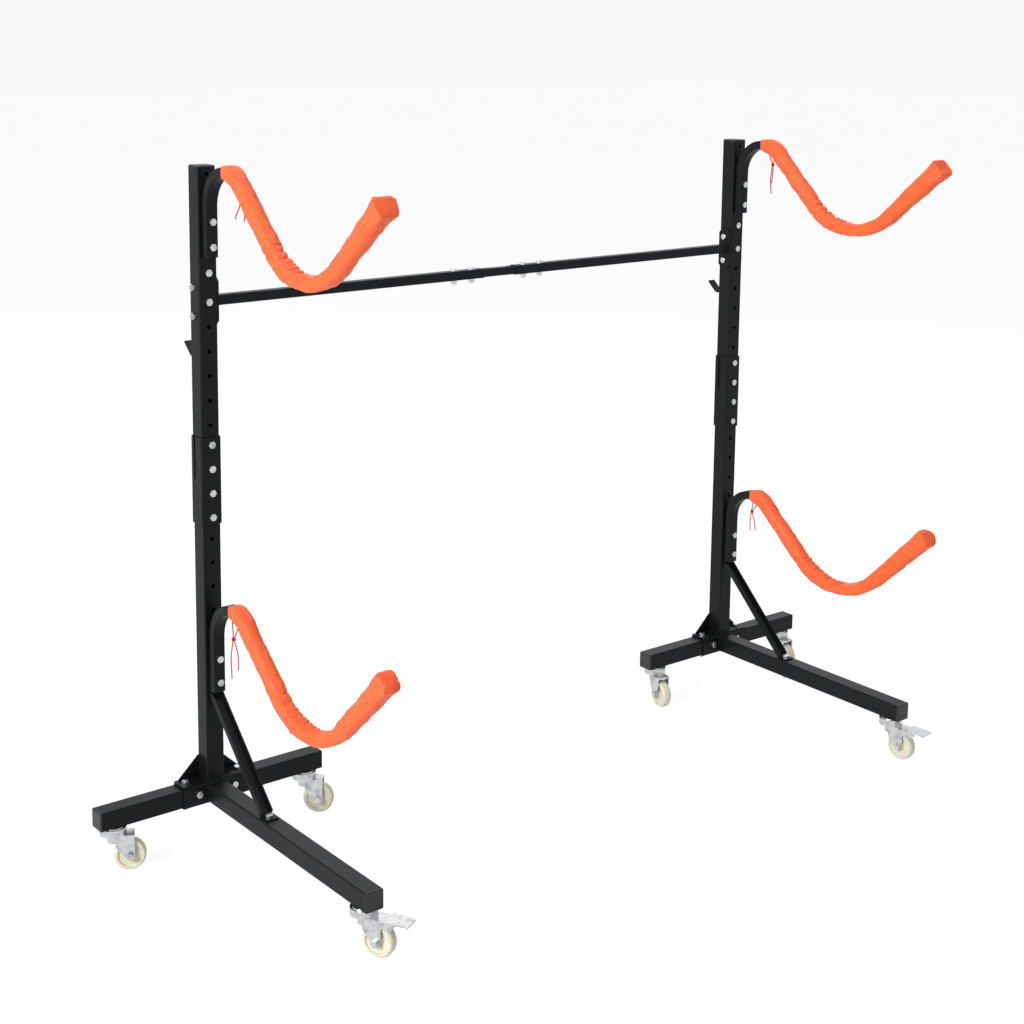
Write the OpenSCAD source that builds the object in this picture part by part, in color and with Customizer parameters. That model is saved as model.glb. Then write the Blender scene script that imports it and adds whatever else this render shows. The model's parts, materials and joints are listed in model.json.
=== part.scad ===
// Freestanding rack for two kayaks: two T-based wheeled stands joined by a telescoping bar.
// Millimetres. X runs along the crossbar, the long legs and the arms point to -Y, Z is up.
// The origin is on the floor, in the middle of the rack's length and depth.

/* [Posts] */
// Outside width of the square post tube
post_w = 38; // [32:1:50]
// Wall thickness of the post tube
post_wall = 2; // [1.5:0.1:3]
// Height of the rack from the floor to the top of the post cap
overall_h = 1354; // [1340:1:1500]
// Height at which the lower and upper post tubes meet
post_split_z = 744; // [735:1:755]
// Distance between neighbouring holes and bolts of one row
hole_pitch = 48; // [46:1:52]
// Distance of the middle of the row of free holes under the crossbar below the top of the rack
free_row_drop = 404; // [394:1:414]
// Number of free holes in the upper post
free_row_count = 5; // [3:1:5]
// Height of the middle of the row of free holes in the lower post
low_row_z = 556; // [550:1:562]
// Number of free holes in the lower post
low_row_count = 4; // [2:1:4]
// Distance of the single top hole below the top of the tube
top_hole_drop = 13; // [10:1:20]

/* [Post joint sleeve] */
// Length of the sleeve over the post joint
joint_sleeve_len = 173; // [165:1:190]
// Wall thickness of both kinds of sleeve
sleeve_wall = 2.3; // [1.5:0.1:3]
// Gap on each side between a sleeve and the tube inside it
sleeve_gap = 0.2; // [0.1:0.05:0.4]
// Width of the open seam in the upper half of the joint sleeve
seam_w = 6; // [3:0.5:9]
// Distance of the open seam from the middle of the side face
seam_shift = 6; // [0:0.5:9]

/* [Base] */
// Outside width of the square leg tubes
leg_w = 38; // [32:1:45]
// Wall thickness of the leg tubes
leg_wall = 2; // [1.5:0.1:3]
// Distance from the post axis to the end of a rear leg, cap included
rear_leg_reach = 248; // [230:1:280]
// Distance from the post axis to the end of the front leg, cap included
front_leg_reach = 583; // [540:1:640]
// Gap between the two rear legs inside the hub sleeve
rear_leg_parting = 8; // [4:1:16]
// Length of the hub sleeve and of the plate on it
hub_len = 145; // [135:1:170]
// Thickness of the base plate
base_plate_t = 3; // [2:0.5:5]
// Depth of the base plate
base_plate_w = 40; // [36:1:44]
// Length of a gusset along the base plate
gusset_len = 46; // [38:1:50]
// Height of a gusset along the post
gusset_h = 44; // [36:1:60]
// Thickness of a gusset
gusset_t = 3; // [2:0.5:4]
// Distance of each vertical base bolt from the post axis
plate_bolt_x = 58; // [56:1:62]
// Distance of each horizontal hub bolt from the post axis
hub_bolt_x = 39; // [36:1:42]
// Height of the hub bolts above the middle of the legs
hub_bolt_rise = 3; // [0:0.5:4]
// Length of a plastic end cap outside its tube
cap_t = 3; // [2:0.5:4]
// Length of the plug of an end cap inside its tube
cap_plug = 8; // [6:1:8]

/* [Brace] */
// Width of the folded brace
brace_w = 25; // [22:1:30]
// Thickness of the brace sheet
brace_t = 3; // [2:0.5:4]
// Depth of the side flanges, measured from the back of the web
brace_flange = 11; // [8:0.5:14]
// Height where the back of the web leaves the post
brace_top_z = 315; // [305:1:325]
// Distance from the post axis to where the web meets the front leg
brace_foot_y = 213; // [200:1:230]
// Length of the foot tab
brace_tab = 25; // [22:1:30]

/* [Arms] */
// Outside width of the arm tube, across the rack
arm_w = 25; // [20:1:30]
// Outside depth of the arm tube
arm_d = 19; // [16:1:25]
// Wall thickness of the arm tube
arm_wall = 1.5; // [1:0.1:2]
// Distance of the middle of an upper arm's two bolts below the top of the rack
upper_arm_drop = 129; // [124:1:132]
// Height of the middle of the two bolts of a lower arm
lower_arm_z = 366; // [362:1:372]
// Length of an arm below the middle of its bolts
arm_tail = 44; // [36:1:50]
// Straight length of an upper arm above the middle of its bolts
upper_rise = 51; // [44:1:70]
// Straight length of a lower arm above the middle of its bolts
lower_rise = 67; // [44:1:70]
// Radius of the bend over the top, to the tube's axis
top_bend_r = 71; // [50:1:90]
// Angle of the top bend of an upper arm
upper_top_bend = 134; // [120:1:140]
// Angle of the top bend of a lower arm
lower_top_bend = 131; // [120:1:140]
// Straight length between the two bends
slope_len = 154; // [120:1:200]
// Radius of the cradle bend, to the tube's axis
cradle_r = 163; // [130:1:200]
// Angle of the cradle bend
cradle_bend = 85; // [70:1:95]
// Straight length from the cradle bend to the tip of an upper arm
upper_tip_len = 171; // [140:1:220]
// Straight length from the cradle bend to the tip of a lower arm
lower_tip_len = 187; // [140:1:220]

/* [Padded covers] */
// Part of the top bend that stays bare, as an angle
cover_start_bend = 90; // [75:1:100]
// Gap between the tube and the cover's lining
cover_gap = 0.6; // [0.5:0.1:1]
// Padding beside the arm tube
cover_pad_w = 2.8; // [2.6:0.1:6]
// Padding over and under the arm tube
cover_pad_d = 6.6; // [6:0.1:10]
// Padding over and under the arm tube at the hem, where the cover is drawn in
cover_hem_d = 4; // [4:0.1:6]
// Length over which the padding fills out from the hem
cover_neck = 14; // [8:1:30]
// How much of the padding over and under the tube is squeezed out at the bottom of the cradle
cover_pinch = 2.2; // [0:0.1:2.4]
// Extra half width of the cover at the tip
cover_flare = 4; // [2:0.1:6]
// Height of the gathers
gather_h = 1.5; // [0:0.1:2]
// Distance between neighbouring gathers
gather_pitch = 31; // [28:1:45]
// Length of the closed end of the cover beyond the tube
cover_end = 9; // [6:1:16]

/* [Drawstrings] */
// Diameter of a drawstring
string_d = 2.4; // [2:0.1:2.5]
// Gap between the underside of a cover and the top of a string
string_gap = 0.4; // [0.4:0.1:0.8]

/* [Crossbar] */
// Clear distance between the two posts, as photographed
post_gap = 1380; // [1300:1:1600]
// Clear distance between the posts with the bar pushed together
closed_gap = 1295; // [1250:1:1298]
// Clear distance between the posts with the bar pulled out
open_gap = 1900; // [1800:1:1900]
// Outside width of the outer bar tubes
bar_w = 20; // [18:1:25]
// Wall thickness of the outer and inner bar tubes
bar_wall = 1.2; // [1:0.1:1.5]
// Gap on each side between the inner and the outer bar tube
bar_gap = 0.2; // [0.1:0.05:0.4]
// Length of the inner bar tube
inner_bar_len = 900; // [860:1:1000]
// Distance of the axis of the crossbar below the top of the rack
bar_drop = 260; // [256:1:264]
// Distance of the outermost bar bolt from the open end of an outer bar tube
bar_bolt_inset = 28; // [20:1:32]
// Distance between the two bolts of an outer bar tube
bar_bolt_pitch = 46; // [40:1:50]
// Height of the flange at the end of an outer bar tube
flange_h = 94; // [88:1:100]
// Width of the flange
flange_w = 36; // [32:1:36]
// Thickness of the flange
flange_t = 4; // [3:0.5:5]
// Corner chamfer of the flange
flange_chamfer = 9; // [4:1:10]
// Distance between the two bolts of a flange
flange_bolt_pitch = 56; // [54:1:62]

/* [Paddle hooks] */
// Width of the hook strip
hook_w = 18; // [16:1:24]
// Thickness of the hook strip
hook_t = 4; // [3:0.5:5]
// Distance between the two hook bolts, the lower one level with the crossbar
hook_bolt_pitch = 56; // [54:1:62]
// Distance of the underside of the hook below the axis of the crossbar
hook_hang = 112; // [104:1:119]
// Distance of the hook's tip from the post axis
hook_reach = 65; // [55:1:75]
// Height of the hook's tip above its underside
hook_rise = 23; // [16:1:30]
// Distance from the post axis to the hook's outer bend
hook_floor_y = 39; // [34:1:44]

/* [Fasteners] */
// Diameter of the bolts
bolt_d = 8; // [6:1:8]
// Diameter of the bolt holes
bolt_hole_d = 8.6; // [8.4:0.1:9]
// Width across the flats of a bolt head or nut
hex_af = 13; // [10:0.5:14]
// Height of a bolt head
head_h = 5.3; // [4:0.1:6]
// Height of the chamfer on a bolt head
head_chamfer = 0.9; // [0.5:0.1:1.5]
// Height of a nut
nut_h = 6.5; // [5:0.1:7]
// Length of bolt that shows beyond its nut
bolt_over = 3; // [1:0.5:5]

/* [Casters] */
// Diameter of a wheel
wheel_d = 63; // [58:1:66]
// Width of a wheel
wheel_w = 24; // [20:1:26]
// Rounding of a wheel's tread edges
wheel_round = 8; // [4:0.5:9]
// Height of a caster from the floor to the leg
caster_h = 91; // [88:1:100]
// Distance of a wheel's axle behind its swivel axis
trail = 31; // [26:1:36]
// Distance of a swivel axis from the end of its leg
caster_inset = 34; // [30:1:40]
// Diameter of the swivel rings
ring_d = 51; // [46:1:54]
// Diameter of the caster stem and king pin
stem_d = 10; // [8:1:12]
// Thickness of the fork sheet
fork_t = 2.5; // [2:0.1:3]
// Gap on each side between the wheel and the fork
wheel_gap = 1.2; // [0.8:0.1:2]
// Diameter of the axle
axle_d = 8; // [6:1:10]
// Diameter of the flange under the axle's head
axle_flange_d = 17; // [15:0.5:18]
// Radial running clearance of the wheel and swivel
run_gap = 0.05; // [0.03:0.01:0.08]
// Angle of travel of the left stand's front caster
lf_turn = -62; // [-180:1:180]
// Angle of travel of the left stand's outer rear caster
lo_turn = -27; // [-180:1:180]
// Angle of travel of the left stand's inner rear caster
li_turn = -40; // [-180:1:180]
// Angle of travel of the right stand's front caster
rf_turn = -83; // [-180:1:180]
// Angle of travel of the right stand's inner rear caster
ri_turn = -102; // [-180:1:180]
// Angle of travel of the right stand's outer rear caster
ro_turn = -98; // [-180:1:180]

/* [Brake pedals] */
// Distance of the pedal's hinge pin from the swivel axis
pedal_pin_x = 56; // [54:0.5:58]
// Distance of the pedal's hinge pin below the fork's top
pedal_pin_drop = 9; // [8:0.5:10]
// Diameter of the pedal's hinge pin
pedal_pin_d = 6; // [5:0.5:7]
// Distance of the pedal's tip from the swivel axis
pedal_reach = 94; // [85:1:100]
// Width of the pedal at the fork
pedal_w = 38; // [37:0.5:42]
// Width of the pedal at its tip
pedal_tip_w = 36; // [30:1:37]
// Depth of the bent lip at the pedal's tip
pedal_lip = 5; // [3:0.5:6]
// Thickness of the pedal sheet
pedal_t = 2; // [1.5:0.1:2.5]

/* [Hidden] */
$fn = 48;

black = "#1d1e20";
zinc = "#c3c7ca";
cream = "#efeedd";
orange = "#ff5310";
red = "#d3211c";
plastic = "#151617";

tube_corner = 3;            // outer corner radius of the post and leg tubes
sleeve_corner = 4;          // outer corner radius of the sleeves
arm_corner = 2.5;           // outer corner radius of the arm tubes
bar_corner = 2;             // outer corner radius of the bar tubes
bend_lap = 0.5;             // how far a bend runs into the straight tube after it
bend_step = 0.01;           // how much fuller that straight tube is on each face
over = 1;                   // how far a cutter runs past what it cuts
seat_gap = 0.3;             // standing gap between two pieces that turn on each other
thread_gap = 0.05;          // radial gap between a bolt and its nut

// Base heights
leg_z = caster_h + leg_w / 2;
sleeve_bore = post_w + 2 * sleeve_gap;
joint_sleeve_w = sleeve_bore + 2 * sleeve_wall;
hub_bore = leg_w + 2 * sleeve_gap;
hub_w = hub_bore + 2 * sleeve_wall;
plate_z = leg_z + hub_w / 2;
post_z = plate_z + base_plate_t;
post_top_z = overall_h - cap_t;
top_hole_z = post_top_z - top_hole_drop;
hub_bolt_z = leg_z + hub_bolt_rise;
bar_z = overall_h - bar_drop;
free_row_z = overall_h - free_row_drop;
hook_bolt_z = bar_z;
hook_low_z = bar_z - hook_hang;
upper_arm_z = overall_h - upper_arm_drop;
brace_bolt_y = brace_foot_y + brace_tab / 2;

// Crossbar
stand_pitch = post_gap + post_w;
outer_bar_len = closed_gap / 2 - flange_t;
bar_shown = post_gap - closed_gap;
bar_pull = open_gap - closed_gap;
inner_bar_w = bar_w - 2 * bar_wall - 2 * bar_gap;
slot_in = bar_bolt_inset;
slot_out = bar_pull / 2 + bar_bolt_inset + bar_bolt_pitch;

// Casters
axle_z = wheel_d / 2;
fork_in = wheel_w / 2 + wheel_gap;
fork_out = fork_in + fork_t;
ring_h = 8.7;               // height of the fixed swivel ring
race_h = 7.5;               // height of the turning swivel ring
mount_z = caster_h - ring_h;
fork_z = mount_z - seat_gap - race_h;
pin_head_d = 18;            // rivet head of the king pin
pin_head_t = 2.5;
stem_h = 22;                // stem above the underside of the leg
stem_nut_af = 17;
stem_nut_h = 8;
fork_axle_r = 9.5;
pin_z = fork_z - pedal_pin_drop;

// Depth of the whole rack, from its foremost and rearmost points
front_reach = front_leg_reach - caster_inset + pedal_reach * sin(-rf_turn)
    + pedal_tip_w / 2 * cos(rf_turn);
post_y = (front_reach - hook_reach) / 2;
left_x = -stand_pitch / 2;
right_x = stand_pitch / 2;

// ---------------------------------------------------------------- outlines

// Rectangle with true round corners
module round_rect(w, d, r) {
    square([w - 2 * r, d], center = true);
    square([w, d - 2 * r], center = true);
    for (x = [-1, 1], y = [-1, 1])
        translate([x * (w / 2 - r), y * (d / 2 - r)])
            circle(r);
}

// Rectangle with cut corners
module chamfered(w, h, c) {
    polygon([
        [-w / 2, c - h / 2], [c - w / 2, -h / 2], [w / 2 - c, -h / 2], [w / 2, c - h / 2],
        [w / 2, h / 2 - c], [w / 2 - c, h / 2], [c - w / 2, h / 2], [-w / 2, h / 2 - c]
    ]);
}

// Section of a tube
module tube_section(w, d, wall, corner) {
    difference() {
        round_rect(w, d, corner);
        round_rect(w - 2 * wall, d - 2 * wall, max(corner - wall, 0.5));
    }
}

// Square tube standing on the XY plane
module square_tube(w, wall, corner, length) {
    linear_extrude(length)
        tube_section(w, w, wall, corner);
}

function unit(v) = v / norm(v);
function left_of(v) = [-v[1], v[0]];

// Point i of a path, moved sideways by d with mitred corners
function moved(path, i, d) =
    let (
        last = len(path) - 1,
        back = unit(path[max(i, 1)] - path[max(i, 1) - 1]),
        ahead = unit(path[min(i + 1, last)] - path[min(i, last - 1)]),
        way = unit(left_of(back) + left_of(ahead))
    )
    path[i] + way * d / (way * left_of(back));

// Outline of a strip of thickness t laid on the left side of a path
function strip(path, t) = concat(
    path,
    [for (i = [len(path) - 1:-1:0]) moved(path, i, t)]
);

// Path with each inner corner replaced by a short arc
function eased(path, r, steps = 4) = [
    for (i = [0:len(path) - 1])
        let (end = i == 0 || i == len(path) - 1)
        each end ? [path[i]] :
            let (
                a = unit(path[i - 1] - path[i]),
                b = unit(path[i + 1] - path[i]),
                half = acos(a * b) / 2,
                run = r / tan(half),
                mid = path[i] + unit(a + b) * r / sin(half)
            )
            [for (k = [0:steps])
                let (p = path[i] + a * run * (1 - k / steps) + b * run * k / steps)
                mid + unit(p - mid) * r]
];

// ---------------------------------------------------------------- fasteners

module hex_prism(af, h) {
    cylinder(d = af / cos(30), h = h, $fn = 6);
}

// Hexagon head with its outer edge chamfered, from -Z up to the origin
module bolt_head() {
    across = hex_af / cos(30);
    intersection() {
        translate([0, 0, -head_h])
            hex_prism(hex_af, head_h);
        union() {
            translate([0, 0, -head_h])
                cylinder(d1 = across - 4 * head_chamfer, d2 = across, h = head_chamfer);
            translate([0, 0, head_chamfer - head_h])
                cylinder(d = across + over, h = head_h - head_chamfer);
        }
    }
}

// Bolt that enters at the origin and runs to +Z through a grip
module bolt(grip) {
    bolt_head();
    cylinder(d = bolt_d, h = grip + nut_h + bolt_over);
}

// Nut of the same bolt
module nut(grip) {
    translate([0, 0, grip])
        difference() {
            hex_prism(hex_af, nut_h);
            translate([0, 0, -over])
                cylinder(d = bolt_d + 2 * thread_gap, h = nut_h + 2 * over);
        }
}

module drill(d, length) {
    translate([0, 0, -over])
        cylinder(d = d, h = length + 2 * over);
}

// One fastener of a kind: "bolt", "nut" or "drill"
module fastener(kind, grip) {
    if (kind == "bolt") bolt(grip);
    if (kind == "nut") nut(grip);
    if (kind == "drill") drill(bolt_hole_d, grip);
}

// Heights of a row of holes
function row(mid, count, pitch = hole_pitch) =
    [for (i = [0:count - 1]) mid + (i - (count - 1) / 2) * pitch];

// Fasteners that enter from the front
module from_front(x, y, z, grip, kind) {
    translate([x, y, z])
        rotate([-90, 0, 0])
            fastener(kind, grip);
}

// Fasteners that enter from above
module from_above(x, y, z, grip, kind) {
    translate([x, y, z])
        rotate([180, 0, 0])
            fastener(kind, grip);
}

module arm_fasteners(kind) {
    for (z = row(upper_arm_z, 2))
        from_front(0, -post_w / 2 - arm_d, z, arm_d + post_w, kind);
    for (z = row(lower_arm_z, 2))
        from_front(0, -post_w / 2 - brace_t - arm_d, z, arm_d + brace_t + post_w, kind);
}

module hook_fasteners(kind) {
    for (z = [hook_bolt_z, hook_bolt_z + hook_bolt_pitch])
        from_front(0, -post_w / 2, z, post_w + hook_t, kind);
}

module joint_fasteners(kind) {
    for (z = row(post_split_z, 4))
        from_front(0, -joint_sleeve_w / 2, z, joint_sleeve_w, kind);
}

module hub_fasteners(kind) {
    for (side = [-1, 1]) {
        from_front(side * hub_bolt_x, -hub_w / 2, hub_bolt_z, hub_w, kind);
        from_above(side * plate_bolt_x, 0, post_z, base_plate_t + hub_w, kind);
    }
}

module brace_fastener(kind) {
    from_above(0, -brace_bolt_y, leg_z + leg_w / 2 + brace_t, brace_t + leg_w, kind);
}

// Flange bolts run from the crossbar's side through the post
module flange_fasteners(kind) {
    for (z = row(bar_z, 2, flange_bolt_pitch))
        translate([post_w / 2 + flange_t, 0, z])
            rotate([0, -90, 0])
                fastener(kind, flange_t + post_w);
}

module bar_fasteners(kind) {
    for (back = [bar_bolt_inset, bar_bolt_inset + bar_bolt_pitch])
        from_above(post_w / 2 + flange_t + outer_bar_len - back, 0, bar_z + bar_w / 2, bar_w, kind);
}

// All fasteners of one stand; side is 1 on the left stand and -1 on the right one
module stand_fasteners(side, kind) {
    arm_fasteners(kind);
    hook_fasteners(kind);
    joint_fasteners(kind);
    hub_fasteners(kind);
    brace_fastener(kind);
    mirrored(side) {
        flange_fasteners(kind);
        bar_fasteners(kind);
    }
}

// ---------------------------------------------------------------- placing

module mirrored(side) {
    scale_x = side > 0 ? 0 : 1;
    mirror([scale_x, 0, 0])
        children();
}

module at_stand(side) {
    translate([side > 0 ? left_x : right_x, post_y, 0])
        children();
}

// ---------------------------------------------------------------- posts

module lower_post(side) {
    color(black)
        at_stand(side)
            difference() {
                union() {
                    translate([0, 0, post_z])
                        square_tube(post_w, post_wall, tube_corner, post_split_z - post_z);
                    translate([-hub_len / 2, -base_plate_w / 2, plate_z])
                        cube([hub_len, base_plate_w, base_plate_t]);
                    gussets();
                }
                lower_post_holes();
            }
}

// Two triangles welded to the side faces, flush with the back of the post
module gussets() {
    for (x = [0, 1])
        mirror([x, 0, 0])
            translate([post_w / 2, post_w / 2 - tube_corner, post_z])
                rotate([90, 0, 0])
                    linear_extrude(gusset_t)
                        polygon([[0, 0], [gusset_len, 0], [gusset_len, 3], [3, gusset_h], [0, gusset_h]]);
}

module lower_post_holes() {
    for (z = row(low_row_z, low_row_count))
        from_front(0, -post_w / 2, z, post_w, "drill");
    arm_fasteners("drill");
    joint_fasteners("drill");
    hub_fasteners("drill");
}

module upper_post(side) {
    color(black)
        at_stand(side)
            difference() {
                translate([0, 0, post_split_z])
                    square_tube(post_w, post_wall, tube_corner, post_top_z - post_split_z);
                for (z = row(free_row_z, free_row_count))
                    from_front(0, -post_w / 2, z, post_w, "drill");
                from_front(0, -post_w / 2, top_hole_z, post_w, "drill");
                arm_fasteners("drill");
                hook_fasteners("drill");
                joint_fasteners("drill");
                mirrored(side)
                    flange_fasteners("drill");
            }
}

module joint_sleeve(side) {
    low_z = post_split_z - joint_sleeve_len / 2;
    color(black)
        at_stand(side)
            difference() {
                translate([0, 0, low_z])
                    square_tube(joint_sleeve_w, sleeve_wall, sleeve_corner, joint_sleeve_len);
                joint_fasteners("drill");
                translate([-joint_sleeve_w, seam_shift - seam_w / 2, post_split_z])
                    cube([joint_sleeve_w, seam_w, joint_sleeve_len]);
            }
}

// ---------------------------------------------------------------- base

// Front leg with the hub sleeve welded across its end
module front_leg(side) {
    tube_len = front_leg_reach - cap_t - hub_w / 2;
    color(black)
        at_stand(side)
            difference() {
                union() {
                    translate([-hub_len / 2, 0, leg_z])
                        rotate([0, 90, 0])
                            square_tube(hub_w, sleeve_wall, sleeve_corner, hub_len);
                    translate([0, -hub_w / 2, leg_z])
                        rotate([90, 0, 0])
                            square_tube(leg_w, leg_wall, tube_corner, tube_len);
                }
                hub_fasteners("drill");
                brace_fastener("drill");
                translate([0, caster_inset - front_leg_reach, caster_h])
                    drill(stem_d + 2 * sleeve_gap, leg_wall);
            }
}

// Rear leg towards +X when way is 1, towards -X when way is -1
module rear_leg(side, way) {
    color(black)
        at_stand(side)
            difference() {
                translate([way * rear_leg_parting / 2, 0, leg_z])
                    rotate([0, way * 90, 0])
                        square_tube(leg_w, leg_wall, tube_corner,
                            rear_leg_reach - cap_t - rear_leg_parting / 2);
                hub_fasteners("drill");
                translate([way * (rear_leg_reach - caster_inset), 0, caster_h])
                    drill(stem_d + 2 * sleeve_gap, leg_wall);
            }
}

// Plastic cap whose plug goes to -Z into a tube that ends at the origin
module end_cap(w, wall) {
    plug_w = w - 2 * wall - 2 * sleeve_gap;
    linear_extrude(cap_t * 0.6)
        round_rect(w, w, tube_corner);
    linear_extrude(cap_t)
        round_rect(w - 3, w - 3, tube_corner - 1);
    translate([0, 0, -cap_plug])
        linear_extrude(cap_plug)
            tube_section(plug_w, plug_w, 2, 1.5);
}

module end_caps(side) {
    color(plastic)
        at_stand(side) {
            translate([0, 0, post_top_z])
                end_cap(post_w, post_wall);
            translate([0, cap_t - front_leg_reach, leg_z])
                rotate([90, 0, 0])
                    end_cap(leg_w, leg_wall);
            for (way = [-1, 1])
                translate([way * (rear_leg_reach - cap_t), 0, leg_z])
                    rotate([0, way * 90, 0])
                        end_cap(leg_w, leg_wall);
        }
}

// Folded brace: a tab behind the lower arm, a sloping channel, and a foot on the leg
module brace(side) {
    foot_z = leg_z + leg_w / 2;
    face_y = post_w / 2;
    tab_top = lower_arm_z + hole_pitch / 2 + hex_af;
    web = [[face_y, tab_top], [face_y, brace_top_z], [brace_foot_y, foot_z],
        [brace_foot_y + brace_tab, foot_z]];
    fall = unit(web[2] - web[1]);
    rim = left_of(fall) * brace_flange;
    start = web[1] + fall * 8;
    stop = web[2] - fall * 3;
    color(black)
        at_stand(side)
            difference() {
                translate([-brace_w / 2, 0, 0])
                    rotate([90, 0, 90])
                        mirror([1, 0, 0])
                            union() {
                                linear_extrude(brace_w)
                                    polygon(strip(web, brace_t));
                                for (x = [0, brace_w - brace_t])
                                    translate([0, 0, x])
                                        linear_extrude(brace_t)
                                            polygon([web[1] + [0, 2], start, stop, stop + rim,
                                                start + rim, web[1] + [brace_t, 2]]);
                            }
                arm_fasteners("drill");
                brace_fastener("drill");
            }
}

// ---------------------------------------------------------------- arms

// Bend of the arm tube about the X axis, from +Z towards -Y
module bend(r, angle) {
    translate([0, -r, 0])
        rotate([90, 0, 90])
            rotate_extrude(angle = angle, $fn = 120)
                translate([r, 0])
                    tube_section(arm_d, arm_w, arm_wall, arm_corner);
}

// Goes on from the end of a bend about the X axis
module past_bend(r, angle) {
    translate([0, -r, 0])
        rotate([angle, 0, 0])
            translate([0, r, 0])
                children();
}

// Straight arm tube, standing on the XY plane and fuller by a step on each face
module arm_straight(length, step = 0) {
    linear_extrude(length)
        tube_section(arm_w + 2 * step, arm_d + 2 * step, arm_wall + 2 * step, arm_corner);
}

// Straight tube that swallows the ends of the bends it meets
module arm_lapped(length, far_lap) {
    translate([0, 0, -bend_lap])
        arm_straight(length + bend_lap + far_lap, bend_step);
}

// Arm of a level, with the middle of its bolts at the origin
module arm_tube(rise, top_angle, tip_len) {
    translate([0, 0, -arm_tail])
        arm_straight(arm_tail + rise);
    translate([0, 0, rise]) {
        bend(top_bend_r, top_angle);
        past_bend(top_bend_r, top_angle) {
            arm_lapped(slope_len, bend_lap);
            translate([0, 0, slope_len])
                mirror([0, 1, 0]) {
                    bend(cradle_r, cradle_bend);
                    past_bend(cradle_r, cradle_bend)
                        arm_lapped(tip_len, 0);
                }
        }
    }
}

upper_arm_y = post_w / 2 + arm_d / 2;
lower_arm_y = upper_arm_y + brace_t;

module upper_arm(side) {
    color(black)
        at_stand(side)
            difference() {
                translate([0, -upper_arm_y, upper_arm_z])
                    arm_tube(upper_rise, upper_top_bend, upper_tip_len);
                arm_fasteners("drill");
            }
}

module lower_arm(side) {
    color(black)
        at_stand(side)
            difference() {
                translate([0, -lower_arm_y, lower_arm_z])
                    arm_tube(lower_rise, lower_top_bend, lower_tip_len);
                arm_fasteners("drill");
            }
}

// ---------------------------------------------------------------- padded covers

cover_sides = 16;
cover_rings = 53;
ripple_sides = 3;           // gathers run round the cover in this many waves

// Direction of the arm's axis at distance s along it, as an angle from straight up
function arm_heading(s, rise, top_angle) =
    let (
        bend_1 = top_bend_r * top_angle * PI / 180,
        bend_2 = cradle_r * cradle_bend * PI / 180,
        after = s - rise - bend_1 - slope_len
    )
    s < rise ? 0 :
    s < rise + bend_1 ? (s - rise) / top_bend_r * 180 / PI :
    after < 0 ? top_angle :
    after < bend_2 ? top_angle - after / cradle_r * 180 / PI :
    top_angle - cradle_bend;

// Place of the arm's axis at distance s, as [forward, up] from the middle of the bolts
function arm_place(s, rise, top_angle) =
    let (
        bend_1 = top_bend_r * top_angle * PI / 180,
        bend_2 = cradle_r * cradle_bend * PI / 180,
        end_1 = [top_bend_r * (1 - cos(top_angle)), rise + top_bend_r * sin(top_angle)],
        way_1 = [sin(top_angle), cos(top_angle)],
        hub_2 = end_1 + way_1 * slope_len + [-cos(top_angle), sin(top_angle)] * cradle_r,
        last = top_angle - cradle_bend,
        after = s - rise - bend_1 - slope_len,
        turn = top_angle - after / cradle_r * 180 / PI
    )
    s < rise ? [0, s] :
    s < rise + bend_1 ?
        let (a = (s - rise) / top_bend_r * 180 / PI)
        [top_bend_r * (1 - cos(a)), rise + top_bend_r * sin(a)] :
    after < 0 ? end_1 + way_1 * (slope_len + after) :
    after < bend_2 ? hub_2 + [cos(turn), -sin(turn)] * cradle_r :
    hub_2 + [cos(last), -sin(last)] * cradle_r + [sin(last), cos(last)] * (after - bend_2);

// Length of an arm's axis from the middle of its bolts to its tip
function arm_length(rise, top_angle, tip_len) =
    rise + top_bend_r * top_angle * PI / 180 + slope_len + cradle_r * cradle_bend * PI / 180 + tip_len;

// Point at a distance out from the arm's axis; round is 0 on +X and 90 on the outside of the top bend
function around(s, rise, top_angle, x, out) =
    let (h = arm_heading(s, rise, top_angle), p = arm_place(s, rise, top_angle))
    [x, -(p[0] - cos(h) * out), p[1] + sin(h) * out];

// How far the cover has flared out at a share f of its length
function cover_flared(f) = cover_flare * pow(max((f - 0.6) / 0.4, 0), 1.5);

// How far the cover's padding has filled out at a share f of its length
cover_run = arm_length(upper_rise, upper_top_bend, upper_tip_len) + cover_end
    - upper_rise - top_bend_r * cover_start_bend * PI / 180;
function cover_filled(f) = min(f * cover_run / cover_neck, 1);

// Half width and half depth of the cover at a share f of its length
function cover_half_w(f) = arm_w / 2 + cover_pad_w + 0.8 * cover_flared(f);
function cover_half_d(f) =
    arm_d / 2 + cover_hem_d + (cover_pad_d - cover_hem_d) * cover_filled(f) + cover_flared(f)
    - cover_pinch * sin(180 * min(max((f - 0.4) / 0.32, 0), 1));

// Gathers: waves across the cover that only stand out, strongest on the inside of the cradle
function gather(s, round, f) =
    gather_h * (0.5 + 0.5 * sin(s / gather_pitch * 360 + 70 * sin(round * ripple_sides)))
    * (0.35 + 0.65 * max(sin(round), 0) * sin(min(max(f - 0.15, 0) * 1.5, 1) * 180));

// Rounded square section, fuller than a circle
function section_scale(round) = 1 / pow(pow(cos(round), 4) + pow(sin(round), 4), 1 / 4);

// Point of the cover's outside, with its size across and its size over and under the arm
function cover_point(s, f, round, rise, top_angle, size) =
    let (k = section_scale(round) * (1 + gather(s, round, f) / cover_half_w(f)))
    around(s, rise, top_angle, size[0] * k * cos(round) * cover_half_w(f),
        size[1] * k * sin(round) * cover_half_d(f));

function cover_ring(s, f, rise, top_angle, size) = [
    for (j = [0:cover_sides - 1])
        cover_point(s, f, 45 + j * 360 / cover_sides, rise, top_angle, size)
];

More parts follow.
